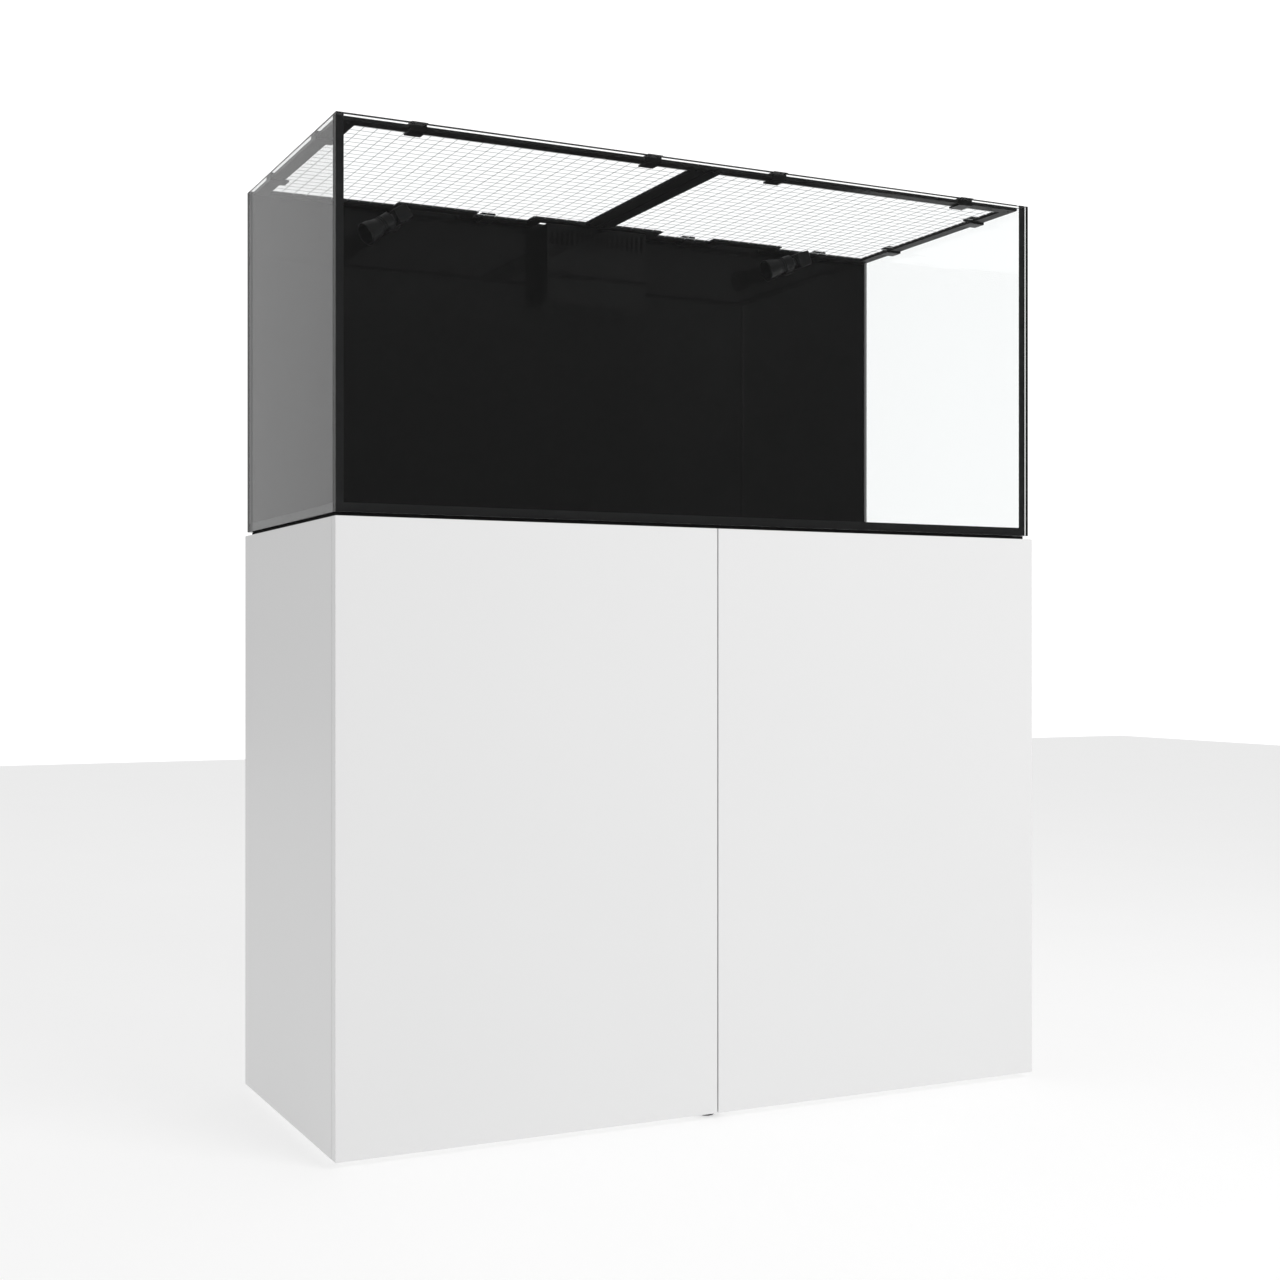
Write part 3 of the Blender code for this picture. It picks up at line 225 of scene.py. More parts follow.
def moulded_mesh():
    """Clear polypropylene garden-type mesh, oriented when drawn: milky white strands with a soft shine."""
    material, tree, shader, place = start_material(
        "clear drawn polypropylene", Transmission_Weight=0.35, Base_Color=hex_colour("#e6e8e8")
    )
    drawn = noise(tree, place, 6 * MM, 2.0)
    polish(tree, shader, drawn, 0.25, 0.45)
    return material


def moulded_abs(name="black moulded ABS", dark="#101011", light="#161617", shine=(0.28, 0.42), ior=1.35):
    """Injection-moulded ABS: black, with the light spark-eroded texture of its tool."""
    material, tree, shader, place = start_material(name)
    shader.inputs["IOR"].default_value = ior
    # The tool's texture is about 0.15 mm; it is drawn at 0.5 mm so that it shows.
    grain = noise(tree, place, 0.5 * MM, 3.0)
    flow = noise(tree, place, 25 * MM, 2.0)
    tint(tree, shader, flow, dark, light)
    polish(tree, shader, flow, shine[0], shine[1])
    emboss(tree, shader, grain, 0.15, 0.05 * MM)
    return material


def cast_acrylic():
    """Black cast acrylic sheet, laser cut: glossy faces with hairline handling scratches."""
    material, tree, shader, place = start_material("black cast acrylic")
    shader.inputs["IOR"].default_value = 1.36
    turned_place = add_node(
        tree, "ShaderNodeMapping", {"Vector": place, "Rotation": (0.3, 0.5, 0.7), "Scale": (1, 14, 1)}
    )
    hairs = noise(tree, turned_place.outputs["Vector"], 40 * MM, 8.0)
    tint(tree, shader, hairs, "#101010", "#141414")
    polish(tree, shader, hairs, 0.02, 0.10, 0.4, 0.8)
    return material


def clear_acrylic():
    """Clear extruded acrylic: a shade cooler and softer than glass, with scuffs from cleaning."""
    material, tree, shader, place = start_material(
        "clear acrylic sheet", Transmission_Weight=0.96, Base_Color=hex_colour("#f4f9f9")
    )
    shader.inputs["IOR"].default_value = 1.42
    scuffs = noise(tree, place, 30 * MM, 7.0)
    polish(tree, shader, scuffs, 0.02, 0.12, 0.45, 0.8)
    return material


def pressure_pipe():
    """Dark grey extruded PVC-U: faint lines along the pipe and a dull shine."""
    material, tree, shader, place = start_material("dark grey PVC-U pipe")
    shader.inputs["IOR"].default_value = 1.45
    drawn = add_node(tree, "ShaderNodeMapping", {"Vector": place, "Scale": (1.0, 1.0, 0.06)})
    lines = noise(tree, drawn.outputs["Vector"], 2 * MM, 3.0)
    tint(tree, shader, lines, "#35373a", "#404245")
    polish(tree, shader, lines, 0.3, 0.45)
    return material


def nickel_steel():
    """Nickel-plated pressed steel: bright, with the fine straight marks of the press."""
    material, tree, shader, place = start_material("nickel-plated steel", Metallic=1.0)
    drawn = add_node(tree, "ShaderNodeMapping", {"Vector": place, "Scale": (1.0, 0.05, 1.0)})
    marks = noise(tree, drawn.outputs["Vector"], 0.6 * MM, 4.0)
    tint(tree, shader, marks, "#b5b4b1", "#cfcecb")
    polish(tree, shader, marks, 0.18, 0.36)
    return material


def studio_floor():
    """Seamless white paper, lit from all round so that it carries only a trace of shadow."""
    material, tree, shader, place = start_material("seamless white paper", Roughness=0.9)
    pulp = noise(tree, place, 400 * MM, 3.0)
    tint(tree, shader, pulp, "#bababa", "#bebebe")
    shader.inputs["Emission Color"].default_value = hex_colour("#ffffff")
    shader.inputs["Emission Strength"].default_value = 0.55
    return material


MATERIALS = {}
MATERIAL_MAKERS = {
    "lacquer": lacquered_board,
    "melamine": melamine_board,
    "glass": float_glass,
    "painted glass": painted_glass,
    "silicone": cured_silicone,
    "foam": cell_foam,
    "powder coat": powder_coat,
    "mesh": moulded_mesh,
    "abs": moulded_abs,
    "acrylic": cast_acrylic,
    "clear acrylic": clear_acrylic,
    "pvc": pressure_pipe,
    "nickel": nickel_steel,
    "red nylon": lambda: moulded_abs("red glass-filled nylon", "#8f1414", "#a31a1a", (0.35, 0.5), 1.5),
    "white plastic": lambda: moulded_abs("white moulded ABS", "#e2e2e0", "#e9e9e7", (0.3, 0.45), 1.45),
    "grey plastic": lambda: moulded_abs("charcoal moulded ABS", "#232427", "#2b2c2f", (0.3, 0.45), 1.4),
    "paper": studio_floor,
}


def material(name):
    if name not in MATERIALS:
        MATERIALS[name] = MATERIAL_MAKERS[name]()
    return MATERIALS[name]


# ---------------------------------------------------------------- shapes


def new_piece(name, mesh, finish):
    """Links a mesh that is already in its place."""
    mesh.name = name
    mesh.materials.clear()
    mesh.materials.append(material(finish))
    piece = bpy.data.objects.new(name, mesh)
    bpy.context.scene.collection.objects.link(piece)
    return piece


def settle(piece, body, slot, *nodes):
    """Rides a finished piece on its body and hides the frame nodes it stands for. The slot is not used."""
    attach(piece, body)
    if nodes:
        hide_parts(*nodes)
    return piece


def bake(piece):
    """Turns the modifiers' result into the piece's plain mesh."""
    evaluated = piece.evaluated_get(bpy.context.evaluated_depsgraph_get())
    mesh = bpy.data.meshes.new_from_object(evaluated)
    piece.modifiers.clear()
    piece.data = mesh
    return piece


def ease_edges(piece, width, segments=2, angle=30):
    """Rounds the edges of a piece and keeps its flats flat."""
    bevel = piece.modifiers.new("Edge", "BEVEL")
    bevel.width = width
    bevel.segments = segments
    bevel.limit_method = "ANGLE"
    bevel.angle_limit = math.radians(angle)
    piece.data.shade_smooth()
    weighted = piece.modifiers.new("Flats", "WEIGHTED_NORMAL")
    weighted.keep_sharp = True
    return bake(piece)


def carve(piece, *meshes):
    """Cuts closed shapes out of a piece."""
    cutters = []
    for mesh in meshes:
        cutter = bpy.data.objects.new("cutter", mesh)
        bpy.context.scene.collection.objects.link(cutter)
        cut = piece.modifiers.new("Cut", "BOOLEAN")
        cut.operation = "DIFFERENCE"
        cut.object = cutter
        cutters.append(cutter)
    bake(piece)
    for cutter in cutters:
        bpy.data.objects.remove(cutter)
    return piece


def frame_mesh(node):
    """A merged copy of a frame node's mesh, its flats made whole."""
    form = bmesh.new()
    form.from_mesh(NODES[node].data)
    bmesh.ops.remove_doubles(form, verts=form.verts, dist=0.01 * MM)
    bmesh.ops.dissolve_limit(
        form, angle_limit=math.radians(0.5), verts=form.verts, edges=form.edges
    )
    mesh = bpy.data.meshes.new(node)
    form.to_mesh(mesh)
    form.free()
    return mesh


def dress_node(node, name, finish, edge, segments=2):
    """A finished piece in a frame node's shape, with eased edges."""
    piece = new_piece(name, frame_mesh(node), finish)
    ease_edges(piece, edge, segments)
    return settle(piece, BODY_OF[node], SLOT_OF[node], node)


def form_mesh(form, smooth_angle=35):
    """A mesh from a bmesh, with outward faces, smooth except at its real edges."""
    bmesh.ops.remove_doubles(form, verts=form.verts, dist=0.001 * MM)
    bmesh.ops.recalc_face_normals(form, faces=form.faces)
    mesh = bpy.data.meshes.new("form")
    form.to_mesh(mesh)
    form.free()
    mesh.shade_smooth()
    mesh.set_sharp_from_angle(angle=math.radians(smooth_angle))
    return mesh


def turned_mesh(profile, place, direction, steps=48, lobes=0, dip=0.0):
    """A (radius, distance) profile turned about a line. Lobes dip its outer wall inwards round the turn."""
    form = bmesh.new()
    rings = []
    reach = max(radius for radius, along in profile)
    for step in range(steps):
        angle = math.tau * step / steps
        wave = 1 - dip * (0.5 - 0.5 * math.cos(lobes * angle))
        ring = []
        for radius, along in profile:
            share = wave if radius > 0.8 * reach else 1.0
            x, y = radius * share * math.cos(angle), radius * share * math.sin(angle)
            ring.append(form.verts.new((x, y, along)))
        rings.append(ring)
    closed = bool(profile[0][0])
    count = len(profile)
    for ring, ahead in zip(rings, rings[1:] + rings[:1]):
        for index in range(count if closed else count - 1):
            after = (index + 1) % count
            corners = [ring[index], ahead[index], ahead[after], ring[after]]
            if profile[index][0] == 0:
                corners = [ring[index], ahead[after], ring[after]]
            elif profile[after][0] == 0:
                corners = [ring[index], ahead[index], ring[after]]
            form.faces.new(corners)
    mesh = form_mesh(form)
    turn = Vector((0, 0, 1)).rotation_difference(Vector(direction)).to_matrix().to_4x4()
    mesh.transform(Matrix.Translation(Vector(place)) @ turn)
    return mesh


def rounded_profile(points, radius, steps=3):
    """A profile whose inner corners are rounded by arcs, where there is room for them."""
    result = [points[0]]
    for before, corner, after in zip(points, points[1:], points[2:]):
        before, corner, after = Vector(before), Vector(corner), Vector(after)
        back, ahead = before - corner, after - corner
        cut = min(radius, 0.45 * back.length, 0.45 * ahead.length)
        first = corner + back.normalized() * cut
        last = corner + ahead.normalized() * cut
        for step in range(steps + 1):
            share = step / steps
            inner = first.lerp(corner, share)
            outer = corner.lerp(last, share)
            result.append(tuple(inner.lerp(outer, share)))
    result.append(points[-1])
    return result


def rounded_route(corners, bend, steps=10):
    """Corner points with each inner corner replaced by an arc."""
    corners = [Vector(corner) for corner in corners]
    route = [corners[0]]
    for before, corner, after in zip(corners, corners[1:], corners[2:]):
        incoming = (corner - before).normalized()
        outgoing = (after - corner).normalized()
        angle = incoming.angle(outgoing)
        start = corner - incoming * bend * math.tan(angle / 2)
        centre = start + (outgoing - incoming * incoming.dot(outgoing)).normalized() * bend
        axis = incoming.cross(outgoing).normalized()
        for step in range(steps + 1):
            turn = Matrix.Rotation(angle * step / steps, 3, axis)
            route.append(centre + turn @ (start - centre))
    route.append(corners[-1])
    return route


def pipe_mesh(route, radius, sides=28, wall=0.0, closed=False):
    """A round pipe along a route. With a wall it is hollow and open at both ends."""
    form = bmesh.new()
    count = len(route)
    tangents = []
    for index, point in enumerate(route):
        after = route[(index + 1) % count] if closed else route[min(index + 1, count - 1)]
        before = route[index - 1] if closed else route[max(index - 1, 0)]
        tangents.append(((after - point).normalized() + (point - before).normalized()).normalized())
    side = tangents[0].orthogonal().normalized()
    outer, inner = [], []
    for index, (point, tangent) in enumerate(zip(route, tangents)):
        if index:
            side = tangents[index - 1].rotation_difference(tangent) @ side
        turns = [Matrix.Rotation(math.tau * step / sides, 3, tangent) @ side for step in range(sides)]
        outer.append([form.verts.new(point + radius * turn) for turn in turns])
        if wall:
            inner.append([form.verts.new(point + (radius - wall) * turn) for turn in turns])

    def skin(rings, loop=False):
        for ring, following in zip(rings, rings[1:] + (rings[:1] if loop else [])):
            for step in range(sides):
                ahead = (step + 1) % sides
                form.faces.new((ring[step], ring[ahead], following[ahead], following[step]))

    skin(outer, closed)
    if wall:
        skin(inner)
        for end in (0, -1):
            skin([outer[end], inner[end]])
    elif not closed:
        form.faces.new(outer[0])
        form.faces.new(outer[-1])
    return form_mesh(form, 50)


def slab_mesh(low, high):
    """A block between two corners, to be eased or cut."""
    low, high = Vector(low), Vector(high)
    form = bmesh.new()
    bmesh.ops.create_cube(form, size=1.0)
    bmesh.ops.scale(form, vec=high - low, verts=form.verts)
    bmesh.ops.translate(form, vec=(low + high) / 2, verts=form.verts)
    return form_mesh(form)


def joined_mesh(meshes):
    """Several meshes as one."""
    form = bmesh.new()
    for mesh in meshes:
        form.from_mesh(mesh)
    joined = bpy.data.meshes.new("joined")
    form.to_mesh(joined)
    form.free()
    return joined


def joined_piece(name, meshes, finish):
    """One piece out of several closed shapes, which keep their own shading."""
    mesh = joined_mesh(meshes)
    mesh.set_sharp_from_angle(angle=math.radians(35))
    return new_piece(name, mesh, finish)


def underside_outline(node):
    """The ordered rim points of the lowest face of a flat frame node."""
    low = BOX[node][0].z
    form = bmesh.new()
    form.from_mesh(NODES[node].data)
    bmesh.ops.remove_doubles(form, verts=form.verts, dist=0.01 * MM)
    floor = {face for face in form.faces if all(abs(v.co.z - low) < 0.05 * MM for v in face.verts)}
    rim = [edge for edge in form.edges if len(floor.intersection(edge.link_faces)) == 1]
    ahead = {}
    for edge in rim:
        for vertex in edge.verts:
            ahead.setdefault(vertex, []).append(edge.other_vert(vertex))
    start = rim[0].verts[0]
    loop, before, here = [start.co.copy()], start, ahead[start][0]
    while here is not start:
        loop.append(here.co.copy())
        after = next(vertex for vertex in ahead[here] if vertex is not before)
        before, here = here, after
    form.free()
    return loop


# ---------------------------------------------------------------- geometry nodes


def start_tree(name, sizes):
    """A geometry tree with a Geometry input, one Float input for each size, and its end sockets."""
    tree = bpy.data.node_groups.new(name, "GeometryNodeTree")
    tree.interface.new_socket("Geometry", in_out="INPUT", socket_type="NodeSocketGeometry")
    for label, value in sizes.items():
        socket = tree.interface.new_socket(label, in_out="INPUT", socket_type="NodeSocketFloat")
        socket.default_value = value
    tree.interface.new_socket("Geometry", in_out="OUTPUT", socket_type="NodeSocketGeometry")
    return tree, add_node(tree, "NodeGroupInput")


def end_tree(tree, geometry, finish):
    """Realizes the instances and gives them their material."""
    real = add_node(tree, "GeometryNodeRealizeInstances", {"Geometry": geometry})
    coated = add_node(
        tree,
        "GeometryNodeSetMaterial",
        {"Geometry": real.outputs["Geometry"], "Material": material(finish)},
    )
    smooth = add_node(
        tree,
        "GeometryNodeSetShadeSmooth",
        {"Geometry": coated.outputs["Geometry"], "Shade Smooth": True},
    )
    add_node(tree, "NodeGroupOutput", {"Geometry": smooth.outputs["Geometry"]})
    return tree


def grow(piece, tree, **sizes):
    """Runs a tree on a piece and keeps the plain mesh that comes out."""
    modifier = piece.modifiers.new(tree.name, "NODES")
    modifier.node_group = tree
    for item in tree.interface.items_tree:
        label = item.name.lower().replace(" ", "_")
        if item.item_type == "SOCKET" and item.in_out == "INPUT" and label in sizes:
            modifier[item.identifier] = sizes[label]
    bake(piece)
    piece.data.set_sharp_from_angle(angle=math.radians(35))
    return piece


def ring_curve(tree, sides, radius):
    """A circle of so many sides."""
    ring = {"Resolution": sides, "Radius": radius}
    return add_node(tree, "GeometryNodeCurvePrimitiveCircle", ring).outputs["Curve"]


def copy_on_points(tree, start, part, **inputs):
    """Instances of a part on every point of the input, turned by the point's own turn."""
    points = add_node(tree, "GeometryNodeMeshToPoints", {"Mesh": start.outputs["Geometry"]})
    turn = add_node(tree, "GeometryNodeInputNamedAttribute", {"Name": "turn"}, data_type="FLOAT_VECTOR")
    sockets = {"Points": points.outputs["Points"], "Instance": part, "Rotation": turn.outputs["Attribute"]}
    return add_node(tree, "GeometryNodeInstanceOnPoints", {**sockets, **inputs}).outputs["Instances"]


def strand_tree(finish):
    """Lays a round strand along every edge."""
    tree, start = start_tree("Strands on edges", {"Strand radius": 0.45 * MM})
    curve = add_node(tree, "GeometryNodeMeshToCurve", {"Mesh": start.outputs["Geometry"]})
    section = ring_curve(tree, 8, start.outputs["Strand radius"])
    sockets = {"Curve": curve.outputs["Curve"], "Profile Curve": section, "Fill Caps": True}
    strand = add_node(tree, "GeometryNodeCurveToMesh", sockets)
    return end_tree(tree, strand.outputs["Mesh"], finish)


def fitting_tree(name, part, finish):
    """Sets a small part on every point, turned by the point's own turn."""
    tree, start = start_tree(name, {"Part scale": 1.0})
    source = add_node(tree, "GeometryNodeObjectInfo", {"Object": part})
    copies = copy_on_points(tree, start, source.outputs["Geometry"], Scale=start.outputs["Part scale"])
    return end_tree(tree, copies, finish)


def bead_tree(finish):
    """Sets a round bead ring across every point's own turn."""
    sizes = {"Ring radius": 12 * MM, "Bead radius": 1 * MM}
    tree, start = start_tree("Bead rings", sizes)
    path = ring_curve(tree, 40, start.outputs["Ring radius"])
    section = ring_curve(tree, 8, start.outputs["Bead radius"])
    bead = add_node(tree, "GeometryNodeCurveToMesh", {"Curve": path, "Profile Curve": section})
    return end_tree(tree, copy_on_points(tree, start, bead.outputs["Mesh"]), finish)


def points_mesh(places):
    """Loose points, each (place, direction), with the turn that takes +Z to its direction."""
    mesh = bpy.data.meshes.new("points")
    mesh.from_pydata([tuple(place) for place, direction in places], [], [])
    turns = mesh.attributes.new("turn", "FLOAT_VECTOR", "POINT")
    for index, (place, direction) in enumerate(places):
        turn = Vector((0, 0, 1)).rotation_difference(Vector(direction)).to_euler()
        turns.data[index].vector = turn
    return mesh


def screw_part(radius, height):
    """A pan head with a cross recess, standing on the origin. It is only a pattern for copies."""
    profile = [(0, 0), (radius, 0), (radius, 0.4 * height), (0.7 * radius, height), (0, height)]
    mesh = turned_mesh(rounded_profile(profile, 0.3 * height), (0, 0, 0), (0, 0, 1), 24)
    head = new_piece("screw_pattern", mesh, "nickel")
    arm, slot = 0.55 * radius, 0.13 * radius
    blades = [
        slab_mesh((-across, -along, 0.45 * height), (across, along, 2 * height))
        for across, along in ((arm, slot), (slot, arm))
    ]
    return carve(head, *blades)


def cap_part(radius, height):
    """A shallow domed cap, standing on the origin. It is only a pattern for copies."""
    profile = [(0, 0), (radius, 0), (radius, 0.5 * height), (0.8 * radius, height), (0, height)]
    mesh = turned_mesh(rounded_profile(profile, 0.4 * height), (0, 0, 0), (0, 0, 1), 28)
    return new_piece("cap_pattern", mesh, "white plastic")


def fit_copies(name, places, part, finish, body, slot):
    """Copies of a pattern part at places, as one piece, after which the pattern is removed."""
    piece = new_piece(name, points_mesh(places), finish)
    grow(piece, fitting_tree(name, part, finish))
    bpy.data.objects.remove(part)
    return settle(piece, body, slot)


# ---------------------------------------------------------------- settings


class CabinetSettings(bpy.types.PropertyGroup):
    door_edge: FloatProperty(
        name="Door edge", description="Radius of the doors' edges", default=0.9 * MM, unit="LENGTH"
    )
    board_edge: FloatProperty(
        name="Board edge", description="Radius of the carcass boards' edges", default=0.5 * MM, unit="LENGTH"
    )
    cap_radius: FloatProperty(
        name="Cap radius",
        description="Radius of the caps over the joining bolts",
        default=7 * MM,
        unit="LENGTH",
    )


class TankSettings(bpy.types.PropertyGroup):
    arris: FloatProperty(
        name="Arris", description="Width of the ground edge of each pane", default=0.7 * MM, unit="LENGTH"
    )
    mesh_pitch: FloatProperty(
        name="Mesh pitch", description="Spacing of the lid mesh's strands", default=20 * MM, unit="LENGTH"
    )
    strand_radius: FloatProperty(
        name="Strand radius",
        description="Radius of a strand of the lid mesh",
        default=0.45 * MM,
        unit="LENGTH",
    )


class NozzleSettings(bpy.types.PropertyGroup):
    rings: IntProperty(name="Rings", description="Grip rings on each outlet", default=4, min=0)
    ring_bead: FloatProperty(
        name="Ring bead", description="Radius of a grip ring's bead", default=0.8 * MM, unit="LENGTH"
    )


class StageSettings(bpy.types.PropertyGroup):
    camera_place: FloatVectorProperty(
        name="Camera place",
        description="Where the camera stands",
        default=(-1.3141, -2.6717, 0.7148),
        subtype="TRANSLATION",
    )
    camera_turn: FloatProperty(
        name="Camera turn",
        description="How far the view turns from +Y towards +X",
        default=math.radians(26.387),
        subtype="ANGLE",
    )
    focal_length: FloatProperty(
        name="Focal length", description="Focal length in millimetres on a 36 mm sensor", default=50.15
    )
    rise: FloatProperty(name="Rise", description="Vertical shift of the lens", default=0.0083)


SETTINGS = {
    "aquarium_cabinet": CabinetSettings,
    "aquarium_tank": TankSettings,
    "aquarium_nozzles": NozzleSettings,
    "aquarium_stage": StageSettings,
}


# ---------------------------------------------------------------- operators


class AQUARIUM_OT_carcass(bpy.types.Operator):
    """Side, floor, top and back boards, the centre post and the caps over their joining bolts"""

    bl_idname = "aquarium.carcass"
    bl_label = "Carcass"

    def execute(self, context):
        settings = context.scene.aquarium_cabinet
        edge = settings.board_edge
        for side in SIDES:
            dress_node(f"{side}_side_panel", f"carcass_side_{side}", "lacquer", edge)
        for node, name in (
            ("floor_panel", "carcass_floor"),
            ("top_panel", "carcass_top"),
            ("back_panel", "carcass_back"),
            ("centre_post", "carcass_post"),
        ):
            dress_node(node, name, "melamine", edge)
        inset, height = 40 * MM, 1.2 * MM
        places = []
        for side, sign in SIDES.items():
            low, high = BOX[f"{side}_side_panel"]
            x = high.x if sign < 0 else low.x
            floor_top = BOX["floor_panel"][1].z
            top_bottom = BOX["top_panel"][0].z
            span = BOX["back_panel"][0].y - low.y
            for share in (0.2, 0.5, 0.8):
                for z in (floor_top + inset, top_bottom - inset):
                    places.append(((x, low.y + share * span, z), (-sign, 0, 0)))
        cap = cap_part(settings.cap_radius, height)
        fit_copies("joint_caps", places, cap, "white plastic", TANK, "white_board")
        return {"FINISHED"}


class AQUARIUM_OT_doors(bpy.types.Operator):
    """The two doors with eased edges and their buffers"""

    bl_idname = "aquarium.doors"
    bl_label = "Doors"

    def execute(self, context):
        edge = context.scene.aquarium_cabinet.door_edge
        buffer_radius, buffer_height, inset = 4 * MM, 1.2 * MM, 12 * MM
        for side, sign in SIDES.items():
            dress_node(f"{side}_door", f"door_{side}", "lacquer", edge, 3)
            low, high = BOX[f"{side}_door"]
            x = sign * inset
            places = [((x, high.y, z), (0, 1, 0)) for z in (low.z + inset, high.z - inset)]
            cap = cap_part(buffer_radius, buffer_height)
            body = BODY_OF[f"{side}_door"]
            fit_copies(f"door_buffers_{side}", places, cap, "white plastic", body, "white_board")
        return {"FINISHED"}


class AQUARIUM_OT_hinges(bpy.types.Operator):
    """Concealed hinges: arms on the side boards, cups and links in the doors, flanges and screws"""

    bl_idname = "aquarium.hinges"
    bl_label = "Hinges"

    def execute(self, context):
        flange, flange_long, flange_wide = 1.1 * MM, 52 * MM, 17 * MM
        cup_edge, flange_lift, screw_sink = 16.5 * MM, 0.1 * MM, 0.6 * MM
        screw_radius, screw_height = 3.6 * MM, 1.6 * MM
        for side, sign in SIDES.items():
            arm_screws, cup_screws, flanges = [], [], []
            door_back = BOX[f"{side}_door"][1].y
            for level in ("lower", "upper"):
                arm = f"{side}_{level}_hinge_arm"
                cup = f"{side}_{level}_hinge_cup"
                dress_node(arm, f"hinge_arm_{side}_{level}", "nickel", 0.7 * MM)
                dress_node(cup, f"hinge_cup_{side}_{level}", "nickel", 0.4 * MM)
                low, high = BOX[arm]
                face = low.x if sign > 0 else high.x
                centre_z = (low.z + high.z) / 2
                for share in (0.25, 0.72):
                    y = low.y + share * (high.y - low.y)
                    arm_screws.append(((face, y, centre_z), (-sign, 0, 0)))
                outer = max(abs(BOX[cup][0].x), abs(BOX[cup][1].x))
                inner = min(abs(BOX[cup][0].x), abs(BOX[cup][1].x))
                middle_x = outer - (outer - inner) / 2
                for end in (-1, 1):
                    z_near, z_far = sorted((centre_z + end * cup_edge, centre_z + end * flange_long / 2))
                    ends_x = (middle_x - flange_wide / 2, middle_x + flange_wide / 4)
                    x_near, x_far = sorted(sign * x for x in ends_x)
                    y = door_back + flange_lift
                    flanges.append(slab_mesh((x_near, y, z_near), (x_far, y + flange, z_far)))
                    screw_y = y + flange - screw_sink
                    cup_screws.append((((x_near + x_far) / 2, screw_y, (z_near + z_far) / 2), (0, 1, 0)))
            plates = joined_piece(f"hinge_flanges_{side}", flanges, "nickel")
            ease_edges(plates, 0.3 * MM)
            body = BODY_OF[f"{side}_door"]
            settle(plates, body, "hinge_steel")
            screw = screw_part(screw_radius, screw_height)
            fit_copies(f"arm_screws_{side}", arm_screws, screw, "nickel", TANK, "hinge_steel")
            screw = screw_part(screw_radius, 0.9 * MM)
            fit_copies(f"cup_screws_{side}", cup_screws, screw, "nickel", body, "hinge_steel")
        return {"FINISHED"}


class AQUARIUM_OT_latches(bpy.types.Operator):
    """Push-latch plungers with a ribbed shank and a soft tip"""

    bl_idname = "aquarium.latches"
    bl_label = "Latches"

    def execute(self, context):
        for side in SIDES:
            node = f"{side}_latch_plunger"
            low, high = BOX[node]
            radius, length = (high.x - low.x) / 2, high.y - low.y
            groove, pitch = 0.4 * MM, 4 * MM
            profile = [(0, 0), (radius - 1.5 * MM, 0), (radius, 1.5 * MM)]
            along = 6 * MM
            while along < length - pitch:
                profile += [
                    (radius, along),
                    (radius - groove, along + groove),
                    (radius - groove, along + 2 * groove),
                    (radius, along + 3 * groove),
                ]
                along += pitch
            profile += [(radius, length), (0, length)]
            start = (middle(node).x, low.y, middle(node).z)
            mesh = turned_mesh(rounded_profile(profile, 0.4 * MM), start, (0, 1, 0), 32)
            piece = new_piece(f"latch_{side}", mesh, "grey plastic")
            settle(piece, BODY_OF[node], SLOT_OF[node], node)
        return {"FINISHED"}


class AQUARIUM_OT_feet(bpy.types.Operator):
    """Levelling feet with a fluted grip and a threaded stem"""

    bl_idname = "aquarium.feet"
    bl_label = "Feet"

    def execute(self, context):
        for node in [name for name in NODES if name.endswith("_foot")]:
            low, high = BOX[node]
            radius = (high.x - low.x) / 2
            pad, stem, top = 7 * MM, 4 * MM, high.z - low.z
            profile = [
                (0, 0),
                (0.78 * radius, 0),
                (0.86 * radius, 1.2 * MM),
                (radius, 2 * MM),
                (radius, pad - 1 * MM),
                (0.7 * radius, pad),
                (stem + 1 * MM, pad),
                (stem, pad + 0.6 * MM),
            ]
            thread, depth_of_thread = 1.25 * MM, 0.5 * MM
            along = pad + 1.4 * MM
            while along < top - thread:
                profile += [(stem, along), (stem - depth_of_thread, along + thread / 2)]
                along += thread
            profile += [(stem, top - 0.6 * MM), (stem - depth_of_thread, top), (0, top)]
            place = (middle(node).x, middle(node).y, low.z)
            mesh = turned_mesh(profile, place, (0, 0, 1), 96, lobes=16, dip=0.05)
            piece = new_piece(f"levelling_{node}", mesh, "abs")
            settle(piece, BODY_OF[node], SLOT_OF[node], node)
        return {"FINISHED"}


class AQUARIUM_OT_panes(bpy.types.Operator):
    """The glass tank: panes with ground edges, silicone seams and the foam mat"""

    bl_idname = "aquarium.panes"
    bl_label = "Tank"

    def execute(self, context):
        arris = context.scene.aquarium_tank.arris
        for node in ("front_pane", "left_pane", "right_pane", "base_pane"):
            dress_node(node, f"tank_{node}", "glass", arris, 1)
        dress_node("back_pane", "tank_back_pane", "painted glass", arris, 1)
        seams = NODES["silicone_seams"].data
        seams.materials.clear()
        seams.materials.append(material("silicone"))
        dress_node("levelling_mat", "tank_mat", "foam", 1.2 * MM)
        return {"FINISHED"}


